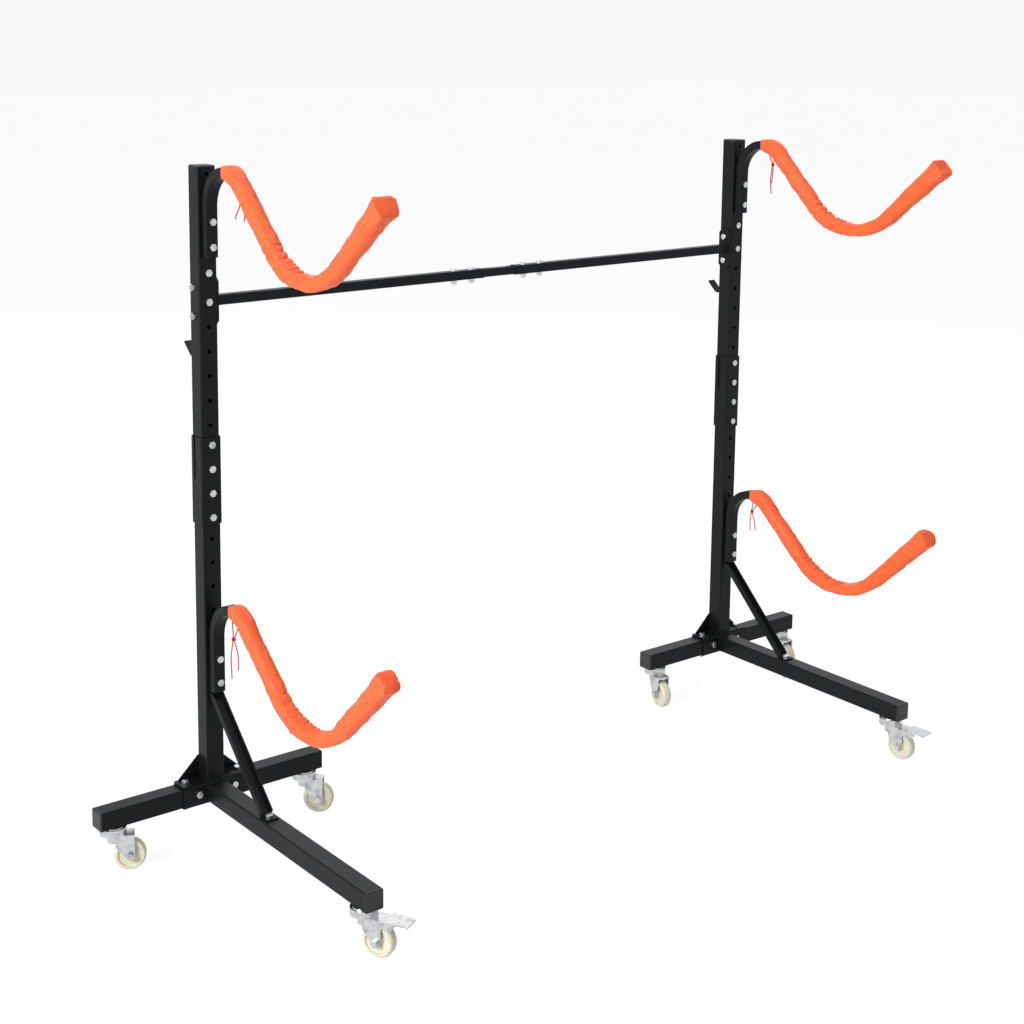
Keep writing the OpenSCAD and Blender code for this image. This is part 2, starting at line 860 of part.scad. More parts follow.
function lining_ring(s, rise, top_angle) =
    let (x = arm_w / 2 + cover_gap, out = arm_d / 2 + cover_gap)
    [for (c = [[1, 1], [-1, 1], [-1, -1], [1, -1]]) around(s, rise, top_angle, x * c[0], out * c[1])];

// Closed sleeve: outer rings from the post end to the flattened tip, then the lining back
module cover_solid(rise, top_angle, tip_len) {
    from_s = rise + top_bend_r * cover_start_bend * PI / 180;
    arm_end = arm_length(rise, top_angle, tip_len);
    stop_s = arm_end + cover_end;
    n = cover_sides;
    m = cover_rings;
    step = (arm_end - from_s) / (m - 3);
    outer = [
        for (i = [0:m - 1])
            let (
                tail = i - (m - 3),
                s = tail <= 0 ? from_s + i * step : arm_end + cover_end * [0.7, 1][tail - 1],
                size = tail <= 0 ? [1, 1] : [[1, 0.9], [0.96, 0.45]][tail - 1]
            )
            each cover_ring(s, (s - from_s) / (stop_s - from_s), rise, top_angle, size)
    ];
    lining = [
        for (i = [0:m - 3])
            each lining_ring(from_s + i * step + (i == m - 3 ? cover_gap : 0), rise, top_angle)
    ];
    tip = [around(stop_s, rise, top_angle, 0, 0)];
    base = n * m;
    last = base + 4 * (m - 3);
    skin = [
        for (i = [0:m - 2], j = [0:n - 1])
            let (a = i * n + j, b = i * n + (j + 1) % n)
            each [[a, b, b + n], [a, b + n, a + n]]
    ];
    tip_fan = [for (j = [0:n - 1]) [(m - 1) * n + j, (m - 1) * n + (j + 1) % n, base + 4 * (m - 2)]];
    inside = [
        for (i = [0:m - 4], k = [0:3])
            let (a = base + 4 * i + k, b = base + 4 * i + (k + 1) % 4)
            each [[a, b + 4, b], [a, a + 4, b + 4]]
    ];
    inside_end = [[last, last + 2, last + 1], [last, last + 3, last + 2]];
    quarter = n / 4;
    hem = [
        for (j = [0:n - 1])
            let (k = base + floor((j + quarter / 2) / quarter) % 4)
            [j, k, (j + 1) % n]
    ];
    hem_steps = [
        for (k = [0:3])
            [k * quarter + quarter / 2, base + k, base + (k + 1) % 4]
    ];
    polyhedron(concat(outer, lining, tip), concat(skin, tip_fan, inside, inside_end, hem, hem_steps));
}

module upper_cover(side) {
    color(orange)
        at_stand(side)
            translate([0, -upper_arm_y, upper_arm_z])
                cover_solid(upper_rise, upper_top_bend, upper_tip_len);
}

module lower_cover(side) {
    color(orange)
        at_stand(side)
            translate([0, -lower_arm_y, lower_arm_z])
                cover_solid(lower_rise, lower_top_bend, lower_tip_len);
}

// ---------------------------------------------------------------- drawstrings

// Each string has two strands that leave the underside of the cover and meet in a knot.
// A strand: distance along the arm and across where it leaves the cover, then its points
// from the middle of the arm's bolts.
upper_left_strands = [
    [224, -3, [[-3, -112, 78.5], [-2, -115, 73.5], [-1.3, -118, 69], [-1.5, -116, 63], [-2, -112, 56],
        [-3, -107, 48], [-3, -103, 39]]],
    [232, 3, [[3, -117, 74], [2, -118.5, 71], [1.3, -120, 68], [2, -122, 62], [3, -125, 55],
        [4, -125, 46], [4, -122, 36]]]
];
lower_left_strands = [
    [188, -9, [[-7, -75, 110], [-4, -71, 100], [-2, -68, 92], [-1.3, -66, 85], [-1.3, -65, 76],
        [-2, -63, 64], [-3, -61, 48], [-3, -60, 32], [-2, -60, 16], [-1, -59, -1]]],
    [202, -3, [[-1, -84, 108], [1, -77, 98], [2, -71, 91], [1.3, -68, 85], [1.3, -67, 76],
        [3, -69, 66], [5, -72, 54], [5, -74, 38], [4, -75, 20]]]
];
upper_right_strands = [
    [191, -2, [[-2.5, -92, 93], [-2, -97, 86], [-1.3, -98, 81], [-1.3, -98, 75], [-2, -97, 62],
        [-3, -96, 46], [-2, -96, 28], [-1, -98, 10]]],
    [201, 3, [[3, -98, 90], [2, -100, 86], [1.3, -99, 81], [1.3, -99, 75], [3, -97, 64],
        [5, -94, 50], [5, -92, 34]]]
];
lower_right_strands = [
    [186, -8, [[-6, -74, 112], [-3, -70, 105], [-1.3, -67, 99], [-1.3, -66, 94], [-2, -65, 82],
        [-3, -65, 66], [-2, -65, 50]]],
    [194, -2, [[0, -78, 110], [1.5, -72, 104], [1.3, -68.5, 99], [1.3, -67, 94], [3, -69, 84],
        [5, -73, 68], [5, -75, 50]]]
];

// Length of a strand's straight start
string_lead = 3;
string_sides = 8;
string_steps = 3;

// Smooth curve through the points of a route
function spline(p, i, t) =
    let (
        a = p[max(i - 1, 0)],
        b = p[i],
        c = p[i + 1],
        d = p[min(i + 2, len(p) - 1)]
    )
    b + t * (c - a) / 2 + t * t * (2 * a - 5 * b + 4 * c - d) / 2 + t * t * t * (3 * b - a - 3 * c + d) / 2;

function curve(p) = concat(
    [for (i = [0:len(p) - 2], k = [0:string_steps - 1]) spline(p, i, k / string_steps)],
    [p[len(p) - 1]]
);

// Where a strand leaves the cover, square to it, from the middle of the arm's bolts
function strand_start(s, x, rise, top_angle, tip_len) =
    let (
        from_s = rise + top_bend_r * cover_start_bend * PI / 180,
        stop_s = arm_length(rise, top_angle, tip_len) + cover_end,
        f = (s - from_s) / (stop_s - from_s),
        out = cover_half_d(f) + gather(s, 270, f) + string_gap
    )
    [for (way = [0, string_lead]) around(s, rise, top_angle, x, -out - way)];

// Closed tube of a strand along its route
module strand_solid(route) {
    path = curve(route);
    n = string_sides;
    m = len(path);
    points = [
        for (i = [0:m - 1])
            let (
                way = unit(path[min(i + 1, m - 1)] - path[max(i - 1, 0)]),
                u = unit(cross(way, [1, 0, 0])),
                v = cross(way, u)
            )
            for (j = [0:n - 1])
                path[i] + string_d / 2 * (u * cos(j * 360 / n) + v * sin(j * 360 / n))
    ];
    skin = [
        for (i = [0:m - 2], j = [0:n - 1])
            let (a = i * n + j, b = i * n + (j + 1) % n)
            each [[a, b + n, b], [a, a + n, b + n]]
    ];
    ends = concat(
        [for (j = [1:n - 2]) [0, j, j + 1]],
        [for (j = [1:n - 2]) [(m - 1) * n, (m - 1) * n + j + 1, (m - 1) * n + j]]
    );
    polyhedron(points, concat(skin, ends));
}

// Both strands of a string
module string_pair(strands, rise, top_angle, tip_len) {
    for (strand = strands)
        strand_solid(concat(strand_start(strand[0], strand[1], rise, top_angle, tip_len), strand[2]));
}

module upper_string(side) {
    color(red)
        at_stand(side)
            translate([0, -upper_arm_y, upper_arm_z])
                string_pair(side > 0 ? upper_left_strands : upper_right_strands,
                    upper_rise, upper_top_bend, upper_tip_len);
}

module lower_string(side) {
    color(red)
        at_stand(side)
            translate([0, -lower_arm_y, lower_arm_z])
                string_pair(side > 0 ? lower_left_strands : lower_right_strands,
                    lower_rise, lower_top_bend, lower_tip_len);
}

// ---------------------------------------------------------------- paddle hook

// Strip on the back of the post, bent out and up at its lower end
module paddle_hook(side) {
    back = post_w / 2;
    path = [[hook_reach, hook_low_z + hook_rise], [hook_floor_y, hook_low_z],
        [back, hook_low_z], [back, hook_bolt_z + hook_bolt_pitch + hex_af]];
    color(black)
        at_stand(side)
            difference() {
                translate([-hook_w / 2, 0, 0])
                    rotate([90, 0, 90])
                        linear_extrude(hook_w)
                            polygon(strip(eased(path, 6), -hook_t));
                hook_fasteners("drill");
            }
}

// ---------------------------------------------------------------- crossbar

module flange_plate() {
    translate([post_w / 2, 0, bar_z])
        rotate([90, 0, 90])
            linear_extrude(flange_t)
                chamfered(flange_w, flange_h, flange_chamfer);
}

// Outer bar tube welded to its flange
module outer_bar(side) {
    color(black)
        at_stand(side)
            mirrored(side)
                difference() {
                    union() {
                        flange_plate();
                        translate([post_w / 2 + flange_t, 0, bar_z])
                            rotate([0, 90, 0])
                                square_tube(bar_w, bar_wall, bar_corner, outer_bar_len);
                    }
                    flange_fasteners("drill");
                    bar_fasteners("drill");
                }
}

// Inner bar tube, with long slots that let the bar bolts travel
module inner_bar() {
    color(black)
        translate([0, post_y, bar_z])
            difference() {
                translate([-inner_bar_len / 2, 0, 0])
                    rotate([0, 90, 0])
                        square_tube(inner_bar_w, bar_wall, bar_corner - 1, inner_bar_len);
                for (way = [-1, 1])
                    bar_slot(way);
            }
}

module bar_slot(way) {
    depth = inner_bar_w + 2 * over;
    translate([0, 0, -depth / 2]) {
        for (x = [slot_in, slot_out])
            translate([way * x, 0, 0])
                cylinder(d = bolt_hole_d, h = depth);
        translate([way > 0 ? slot_in : -slot_out, -bolt_hole_d / 2, 0])
            cube([slot_out - slot_in, bolt_hole_d, depth]);
    }
}

// ---------------------------------------------------------------- casters

// Swivel axes of a stand's casters, from its post axis
front_pivot = [0, caster_inset - front_leg_reach, 0];
function rear_pivot(way) = [way * (rear_leg_reach - caster_inset), 0, 0];

// Fixed ring with its stem above and king pin below
module caster_mount() {
    translate([0, 0, mount_z]) {
        cylinder(d = ring_d, h = ring_h - 2.5);
        cylinder(d = ring_d - 9, h = ring_h);
    }
    translate([0, 0, fork_z - seat_gap - fork_t - pin_head_t])
        cylinder(d = pin_head_d, h = pin_head_t);
    translate([0, 0, fork_z - seat_gap - fork_t - over])
        cylinder(d = stem_d, h = caster_h + stem_h - fork_z + seat_gap + fork_t + over);
}

module caster_mounts(side) {
    color(zinc)
        at_stand(side)
            for (p = [front_pivot, rear_pivot(-1), rear_pivot(1)])
                translate(p)
                    caster_mount();
}

// Nuts on the caster stems, inside the legs
module stem_nuts() {
    for (p = [front_pivot, rear_pivot(-1), rear_pivot(1)])
        translate(p + [0, 0, caster_h + leg_wall])
            difference() {
                hex_prism(stem_nut_af, stem_nut_h);
                drill(stem_d + 2 * thread_gap, stem_nut_h);
            }
}

// Turned and moved to a caster's swivel axis
module at_caster(side, pivot, turn) {
    at_stand(side)
        translate(pivot)
            rotate([0, 0, turn])
                children();
}

// Outline of a fork cheek, seen from the side
module cheek_outline(braked) {
    back_x = trail + fork_axle_r;
    difference() {
        union() {
            translate([trail, axle_z])
                circle(fork_axle_r);
            polygon([
                [4, fork_z], [4, axle_z + 22], [7, axle_z + 17],
                [trail - fork_axle_r * 0.75, axle_z - fork_axle_r * 0.66],
                [trail, axle_z], [back_x, axle_z], [back_x, fork_z]
            ]);
            if (braked)
                polygon([
                    [back_x - 1, fork_z], [pedal_pin_x, fork_z], [pedal_pin_x + 5, fork_z - 5],
                    [pedal_pin_x + 5, pin_z - 5], [back_x + 3, pin_z - 5], [back_x - 1, pin_z - 9]
                ]);
        }
        if (braked)
            translate([pedal_pin_x, pin_z])
                circle(d = pedal_pin_d + 2 * run_gap);
        translate([trail, axle_z])
            circle(d = axle_d + 2 * thread_gap);
    }
}

module caster_fork(side, pivot, turn, braked) {
    crown_end = braked ? trail + fork_axle_r + 6 : trail + fork_axle_r;
    color(zinc)
        at_caster(side, pivot, turn)
            difference() {
                union() {
                    translate([0, 0, fork_z])
                        cylinder(d = ring_d, h = race_h);
                    translate([0, 0, fork_z - fork_t])
                        cylinder(r = fork_out, h = fork_t);
                    translate([0, -fork_out, fork_z - fork_t])
                        cube([crown_end, 2 * fork_out, fork_t]);
                    for (y = [-fork_in, fork_out])
                        translate([0, y, 0])
                            rotate([90, 0, 0])
                                linear_extrude(fork_t)
                                    cheek_outline(braked);
                    fork_nose();
                }
                translate([0, 0, fork_z - fork_t])
                    drill(stem_d + 2 * run_gap, fork_t + race_h);
            }
}

// Rounded front of the fork, between its cheeks
module fork_nose() {
    nose_h = 16;
    difference() {
        translate([4, 0, fork_z - nose_h])
            cylinder(r = fork_out, h = nose_h);
        translate([4, 0, fork_z - nose_h - over])
            cylinder(r = fork_in, h = nose_h - fork_t + over);
        translate([4, -fork_out - over, fork_z - nose_h - over])
            cube([ring_d, 2 * fork_out + 2 * over, nose_h - fork_t + over]);
    }
}

// Axle bolt with its nut on the far side
module caster_axle(side, pivot, turn) {
    nut_t = 6;
    flange_t = 1.5;
    color(zinc)
        at_caster(side, pivot, turn)
            translate([trail, 0, axle_z])
                rotate([90, 0, 0]) {
                    translate([0, 0, -fork_out - nut_t - 1])
                        cylinder(d = axle_d, h = 2 * fork_out + nut_t + 1);
                    translate([0, 0, fork_out])
                        cylinder(d = axle_flange_d, h = flange_t);
                    translate([0, 0, fork_out])
                        hex_prism(hex_af, 5 + flange_t);
                    translate([0, 0, -fork_out - nut_t])
                        hex_prism(hex_af, nut_t);
                }
}

// Moulded wheel with a tread of rounded edges, a dished side and a hub
module caster_wheel(side, pivot, turn) {
    r = wheel_d / 2;
    hub_r = 11;
    dish = 4;
    rim = 8;
    bore_r = axle_d / 2 + run_gap;
    color(cream)
        at_caster(side, pivot, turn)
            translate([trail, 0, axle_z])
                rotate([90, 0, 0])
                    rotate_extrude($fn = 96)
                        intersection() {
                            polygon([
                                [bore_r, -wheel_w / 2], [hub_r, -wheel_w / 2],
                                [hub_r + 1, dish - wheel_w / 2],
                                [r - rim - 1, dish - wheel_w / 2], [r - rim, 1 - wheel_w / 2],
                                [r, 1 - wheel_w / 2], [r, wheel_w / 2 - 1],
                                [r - rim, wheel_w / 2 - 1], [r - rim - 1, wheel_w / 2 - dish],
                                [hub_r + 1, wheel_w / 2 - dish], [hub_r, wheel_w / 2], [bore_r, wheel_w / 2]
                            ]);
                            union() {
                                translate([0, -wheel_w / 2])
                                    square([r - wheel_round, wheel_w]);
                                translate([0, wheel_round - wheel_w / 2])
                                    square([r, wheel_w - 2 * wheel_round]);
                                for (y = [wheel_round - wheel_w / 2, wheel_w / 2 - wheel_round])
                                    translate([r - wheel_round, y])
                                        circle(wheel_round);
                            }
                        }
}

// Pedal plate with a bent lip, two cheeks, a hinge pin and a brake shoe over the wheel
module brake_pedal(side, turn) {
    cheek_y = fork_out + 0.6;
    from_x = trail + fork_axle_r + 8;
    color(zinc)
        at_caster(side, front_pivot, turn) {
            translate([0, 0, fork_z])
                linear_extrude(pedal_t)
                    polygon([
                        [from_x, -pedal_w / 2], [from_x + 14, -pedal_w / 2],
                        [pedal_reach, -pedal_tip_w / 2], [pedal_reach, pedal_tip_w / 2],
                        [from_x + 14, pedal_w / 2], [from_x, pedal_w / 2]
                    ]);
            translate([pedal_reach - pedal_t, -pedal_tip_w / 2, fork_z + pedal_t - pedal_lip])
                cube([pedal_t, pedal_tip_w, pedal_lip]);
            for (y = [-cheek_y, pedal_w / 2])
                translate([0, y, 0])
                    rotate([90, 0, 0])
                        linear_extrude(pedal_w / 2 - cheek_y)
                            polygon([
                                [from_x + 1, fork_z + pedal_t / 2],
                                [pedal_pin_x + 14, fork_z + pedal_t / 2],
                                [pedal_pin_x + 4, pin_z - 4], [pedal_pin_x - 4, pin_z - 4]
                            ]);
            translate([pedal_pin_x, pedal_w / 2 + 1, pin_z])
                rotate([90, 0, 0])
                    cylinder(d = pedal_pin_d, h = pedal_w + 2);
            translate([pedal_pin_x - 2, -fork_in + 3, pin_z - 9])
                cube([4, 2 * fork_in - 6, 9]);
        }
}

module bolts(side) {
    color(zinc)
        at_stand(side)
            stand_fasteners(side, "bolt");
}

module nuts(side) {
    color(zinc)
        at_stand(side) {
            stand_fasteners(side, "nut");
            stem_nuts();
        }
}

// ---------------------------------------------------------------- the rack

lower_post(1);  // lower_post_left
lower_post(-1);  // lower_post_right
upper_post(1);  // upper_post_left
upper_post(-1);  // upper_post_right
joint_sleeve(1);  // joint_sleeve_left
joint_sleeve(-1);  // joint_sleeve_right
front_leg(1);  // front_leg_left
front_leg(-1);  // front_leg_right
rear_leg(1, -1);  // rear_leg_left_outer
rear_leg(1, 1);  // rear_leg_left_inner
rear_leg(-1, -1);  // rear_leg_right_inner
rear_leg(-1, 1);  // rear_leg_right_outer
end_caps(1);  // end_caps_left
end_caps(-1);  // end_caps_right
brace(1);  // brace_left
brace(-1);  // brace_right
upper_arm(1);  // upper_arm_left
upper_arm(-1);  // upper_arm_right
lower_arm(1);  // lower_arm_left
lower_arm(-1);  // lower_arm_right
upper_cover(1);  // upper_cover_left
upper_cover(-1);  // upper_cover_right
lower_cover(1);  // lower_cover_left
lower_cover(-1);  // lower_cover_right
upper_string(1);  // upper_string_left
upper_string(-1);  // upper_string_right
lower_string(1);  // lower_string_left
lower_string(-1);  // lower_string_right
paddle_hook(1);  // paddle_hook_left
paddle_hook(-1);  // paddle_hook_right
bolts(1);  // bolts_left
bolts(-1);  // bolts_right
nuts(1);  // nuts_left
nuts(-1);  // nuts_right
outer_bar(1);  // outer_bar_left
outer_bar(-1);  // outer_bar_right
inner_bar();
caster_mounts(1);  // caster_mounts_left
caster_mounts(-1);  // caster_mounts_right
caster_fork(1, front_pivot, lf_turn, true);  // fork_lf
caster_fork(1, rear_pivot(-1), lo_turn, false);  // fork_lo
caster_fork(1, rear_pivot(1), li_turn, false);  // fork_li
caster_fork(-1, front_pivot, rf_turn, true);  // fork_rf
caster_fork(-1, rear_pivot(-1), ri_turn, false);  // fork_ri
caster_fork(-1, rear_pivot(1), ro_turn, false);  // fork_ro
caster_axle(1, front_pivot, lf_turn);  // axle_lf
caster_axle(1, rear_pivot(-1), lo_turn);  // axle_lo
caster_axle(1, rear_pivot(1), li_turn);  // axle_li
caster_axle(-1, front_pivot, rf_turn);  // axle_rf
caster_axle(-1, rear_pivot(-1), ri_turn);  // axle_ri
caster_axle(-1, rear_pivot(1), ro_turn);  // axle_ro
caster_wheel(1, front_pivot, lf_turn);  // wheel_lf
caster_wheel(1, rear_pivot(-1), lo_turn);  // wheel_lo
caster_wheel(1, rear_pivot(1), li_turn);  // wheel_li
caster_wheel(-1, front_pivot, rf_turn);  // wheel_rf
caster_wheel(-1, rear_pivot(-1), ri_turn);  // wheel_ri
caster_wheel(-1, rear_pivot(1), ro_turn);  // wheel_ro
brake_pedal(1, lf_turn);  // brake_pedal_left
brake_pedal(-1, rf_turn);  // brake_pedal_right
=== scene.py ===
import bpy
import json
import random
from math import sin, cos, pi, radians, sqrt
from mathutils import Matrix, Vector, noise as noise3


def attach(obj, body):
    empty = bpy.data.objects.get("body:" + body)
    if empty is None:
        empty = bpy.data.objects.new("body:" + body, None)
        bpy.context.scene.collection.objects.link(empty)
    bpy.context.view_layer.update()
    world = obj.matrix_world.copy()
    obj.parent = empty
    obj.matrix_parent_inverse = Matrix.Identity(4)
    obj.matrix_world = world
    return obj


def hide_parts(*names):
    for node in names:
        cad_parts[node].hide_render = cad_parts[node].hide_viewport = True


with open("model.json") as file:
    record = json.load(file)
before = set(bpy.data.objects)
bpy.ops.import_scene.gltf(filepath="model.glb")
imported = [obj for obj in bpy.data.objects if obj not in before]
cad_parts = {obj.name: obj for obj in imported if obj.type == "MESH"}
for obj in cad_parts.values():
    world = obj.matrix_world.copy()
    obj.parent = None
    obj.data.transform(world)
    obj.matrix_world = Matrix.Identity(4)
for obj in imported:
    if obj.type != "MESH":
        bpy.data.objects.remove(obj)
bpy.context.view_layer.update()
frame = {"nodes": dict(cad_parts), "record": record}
MM = 0.001
random.seed(7)

# ---------------------------------------------------------------- the part's sizes, in mm
POST_Y = 289.746
STAND_X = {"left": -709.0, "right": 709.0}
BODY = {"left": "left_stand", "right": "right_stand"}
POST_W, ARM_W, ARM_D = 38.0, 25.0, 19.0
TOP_R, SLOPE, CRADLE_R, CRADLE_BEND = 71.0, 154.0, 163.0, radians(85)
COVER_BARE = radians(90)
PAD_W, PAD_D, PINCH, FLARE, COVER_END = 2.8, 6.6, 2.2, 4.0, 9.0
HEM_D, NECK, COVER_RUN = 4.0, 14.0, 630.4
# rise, top bend, tip, height of the bolts, distance of the arm's axis from the post's
LEVELS = {
    "upper": (51.0, radians(134), 171.0, 1225.0, 28.5),
    "lower": (67.0, radians(131), 187.0, 366.0, 31.5),
}


# ---------------------------------------------------------------- camera
CAMERA_AT = (-2.3273, -2.7084, 1.6450)
CAMERA_TURN = (0.67547, -0.16175, 0.0129)       # yaw, pitch, roll
FOCAL, PICTURE = 1779.303, 1024.0               # in pixels of the photo
CENTRE = (524.11, 302.8)                        # where the optical axis meets the photo
SENSOR = 36.0


def make_camera():
    """Camera at the photo's angle, with the photo's off-centre axis as a shift."""
    yaw, pitch, roll = CAMERA_TURN
    ahead = Vector((sin(yaw) * cos(pitch), cos(yaw) * cos(pitch), sin(pitch)))
    right0 = Vector((cos(yaw), -sin(yaw), 0.0))
    up0 = right0.cross(ahead)
    right = cos(roll) * right0 + sin(roll) * up0
    up = -sin(roll) * right0 + cos(roll) * up0
    cam = bpy.data.objects.new("camera", bpy.data.cameras.new("camera"))
    bpy.context.scene.collection.objects.link(cam)
    place = Matrix.Identity(4)
    for i in range(3):
        place[i][0], place[i][1], place[i][2] = right[i], up[i], -ahead[i]
    place.translation = Vector(CAMERA_AT)
    cam.matrix_world = place
    cam.data.sensor_width = SENSOR
    cam.data.lens = SENSOR * FOCAL / PICTURE
    cam.data.shift_x = (PICTURE / 2 - CENTRE[0]) / PICTURE
    cam.data.shift_y = (CENTRE[1] - PICTURE / 2) / PICTURE
    bpy.context.scene.camera = cam


make_camera()


# ---------------------------------------------------------------- materials
def new_material(name):
    m = bpy.data.materials.new(name)
    m.use_nodes = True
    nodes = m.node_tree.nodes
    return m, nodes, m.node_tree.links, nodes["Principled BSDF"]


def noise(nodes, links, vector, scale, detail=4.0, rough=0.55):
    n = nodes.new("ShaderNodeTexNoise")
    n.inputs["Scale"].default_value = scale
    n.inputs["Detail"].default_value = detail
    n.inputs["Roughness"].default_value = rough
    links.new(vector, n.inputs["Vector"])
    return n.outputs["Fac"]


def ramp(nodes, links, fac, stops):
    r = nodes.new("ShaderNodeValToRGB")
    while len(r.color_ramp.elements) < len(stops):
        r.color_ramp.elements.new(0.5)
    for e, (at, colour) in zip(r.color_ramp.elements, stops):
        e.position = at
        e.color = (*colour, 1.0)
    links.new(fac, r.inputs["Fac"])
    return r.outputs["Color"]


def spread(nodes, links, fac, low, high):
    r = nodes.new("ShaderNodeMapRange")
    r.inputs["To Min"].default_value = low
    r.inputs["To Max"].default_value = high
    links.new(fac, r.inputs["Value"])
    return r.outputs["Result"]


def math_node(nodes, links, op, a, b=None, c=None):
    n = nodes.new("ShaderNodeMath")
    n.operation = op
    for i, v in enumerate((a, b, c)):
        if v is None:
            continue
        if isinstance(v, (int, float)):
            n.inputs[i].default_value = v
        else:
            links.new(v, n.inputs[i])
    return n.outputs[0]


def bump(nodes, links, height, strength, distance, normal=None):
    b = nodes.new("ShaderNodeBump")
    b.inputs["Strength"].default_value = strength
    b.inputs["Distance"].default_value = distance
    links.new(height, b.inputs["Height"])
    if normal is not None:
        links.new(normal, b.inputs["Normal"])
    return b.outputs["Normal"]


def object_coords(nodes):
    return nodes.new("ShaderNodeTexCoord").outputs["Object"]


def powder_coat():
    m, nodes, links, p = new_material("powder_coat_black")
    at = object_coords(nodes)
    broad = noise(nodes, links, at, 9.0, 3.0)
    fine = noise(nodes, links, at, 1400.0, 2.0)
    grain = noise(nodes, links, at, 420.0, 3.0)
    colour = ramp(nodes, links, broad, [(0.3, (0.0036, 0.0038, 0.0048)), (0.7, (0.0054, 0.0057, 0.0070))])
    links.new(colour, p.inputs["Base Color"])
    links.new(spread(nodes, links, grain, 0.38, 0.50), p.inputs["Roughness"])
    p.inputs["Specular IOR Level"].default_value = 0.15
    p.inputs["Specular Tint"].default_value = (0.88, 0.91, 1.0, 1.0)
    peel = bump(nodes, links, grain, 0.25, 0.0003)
    links.new(bump(nodes, links, fine, 0.12, 0.0001, peel), p.inputs["Normal"])
    return m


def bright_zinc():
    m, nodes, links, p = new_material("bright_zinc")
    at = object_coords(nodes)
    stretch = nodes.new("ShaderNodeMapping")
    stretch.inputs["Scale"].default_value = (1.0, 1.0, 0.15)
    links.new(at, stretch.inputs["Vector"])
    streak = noise(nodes, links, stretch.outputs["Vector"], 600.0, 4.0)
    broad = noise(nodes, links, at, 60.0, 3.0)
    colour = ramp(nodes, links, broad, [(0.3, (0.36, 0.37, 0.40)), (0.55, (0.60, 0.61, 0.62)),
                                        (0.75, (0.47, 0.46, 0.43))])
    links.new(colour, p.inputs["Base Color"])
    p.inputs["Metallic"].default_value = 1.0
    links.new(spread(nodes, links, streak, 0.24, 0.38), p.inputs["Roughness"])
    links.new(bump(nodes, links, streak, 0.15, 0.0001), p.inputs["Normal"])
    return m


def wheel_nylon():
    m, nodes, links, p = new_material("ivory_nylon")
    at = object_coords(nodes)
    broad = noise(nodes, links, at, 45.0, 4.0)
    fine = noise(nodes, links, at, 900.0, 2.0)
    colour = ramp(nodes, links, broad, [(0.3, (0.62, 0.60, 0.47)), (0.7, (0.70, 0.68, 0.54))])
    links.new(colour, p.inputs["Base Color"])
    links.new(spread(nodes, links, fine, 0.30, 0.42), p.inputs["Roughness"])
    p.inputs["Subsurface Weight"].default_value = 0.15
    p.inputs["Subsurface Radius"].default_value = (0.004, 0.003, 0.002)
    links.new(bump(nodes, links, fine, 0.10, 0.0001), p.inputs["Normal"])
    return m


def cap_plastic():
    m, nodes, links, p = new_material("cap_plastic")
    at = object_coords(nodes)
    grain = noise(nodes, links, at, 700.0, 3.0)
    broad = noise(nodes, links, at, 30.0, 2.0)
    links.new(ramp(nodes, links, broad, [(0.3, (0.012, 0.012, 0.013)), (0.7, (0.018, 0.018, 0.019))]),
              p.inputs["Base Color"])
    links.new(spread(nodes, links, grain, 0.45, 0.60), p.inputs["Roughness"])
    links.new(bump(nodes, links, grain, 0.35, 0.0002), p.inputs["Normal"])
    return m


def wave(nodes, links, vector, axis, scale):
    w = nodes.new("ShaderNodeTexWave")
    w.wave_type = "BANDS"
    w.bands_direction = axis
    w.inputs["Scale"].default_value = scale
    links.new(vector, w.inputs["Vector"])
    return w.outputs["Fac"]


def cover_fabric():
    m, nodes, links, p = new_material("orange_satin_fabric")
    uv = nodes.new("ShaderNodeTexCoord").outputs["UV"]
    warp = wave(nodes, links, uv, "X", 260.0)
    weft = wave(nodes, links, uv, "Y", 260.0)
    weave = math_node(nodes, links, "MULTIPLY", warp, weft)
    slub_map = nodes.new("ShaderNodeMapping")
    slub_map.inputs["Scale"].default_value = (1.0, 12.0, 1.0)
    links.new(uv, slub_map.inputs["Vector"])
    slub = noise(nodes, links, slub_map.outputs["Vector"], 90.0, 3.0)
    broad = noise(nodes, links, uv, 22.0, 4.0)
    crease = noise(nodes, links, uv, 55.0, 3.0, 0.5)
    colour = ramp(nodes, links, broad, [(0.25, (0.90, 0.108, 0.024)), (0.75, (0.95, 0.146, 0.037))])
    shade = nodes.new("ShaderNodeMix")
    shade.data_type = "RGBA"
    shade.blend_type = "MULTIPLY"
    shade.inputs["Factor"].default_value = 0.35
    links.new(colour, shade.inputs["A"])
    links.new(ramp(nodes, links, slub, [(0.3, (0.72, 0.66, 0.6)), (0.7, (1.0, 1.0, 1.0))]), shade.inputs["B"])
    links.new(shade.outputs["Result"], p.inputs["Base Color"])
    links.new(spread(nodes, links, slub, 0.42, 0.56), p.inputs["Roughness"])
    p.inputs["Specular IOR Level"].default_value = 0.32
    p.inputs["Sheen Weight"].default_value = 0.10
    p.inputs["Sheen Roughness"].default_value = 0.35
    p.inputs["Sheen Tint"].default_value = (1.0, 0.62, 0.42, 1.0)
    soft = bump(nodes, links, crease, 0.45, 0.0016)
    links.new(bump(nodes, links, weave, 0.25, 0.0002, soft), p.inputs["Normal"])
    return m


def cover_inside_painted_shade():
    m, nodes, links, p = new_material("cover_lining_painted_shade")
    at = object_coords(nodes)
    fine = noise(nodes, links, at, 500.0, 4.0)
    # the lining's colour is the fabric's orange darkened five to nine times: painted shade inside the cover's
    # mouth
    links.new(ramp(nodes, links, fine, [(0.3, (0.10, 0.012, 0.004)), (0.7, (0.20, 0.026, 0.008))]),
              p.inputs["Base Color"])
    links.new(spread(nodes, links, fine, 0.8, 0.95), p.inputs["Roughness"])
    links.new(bump(nodes, links, fine, 0.5, 0.0004), p.inputs["Normal"])
    return m


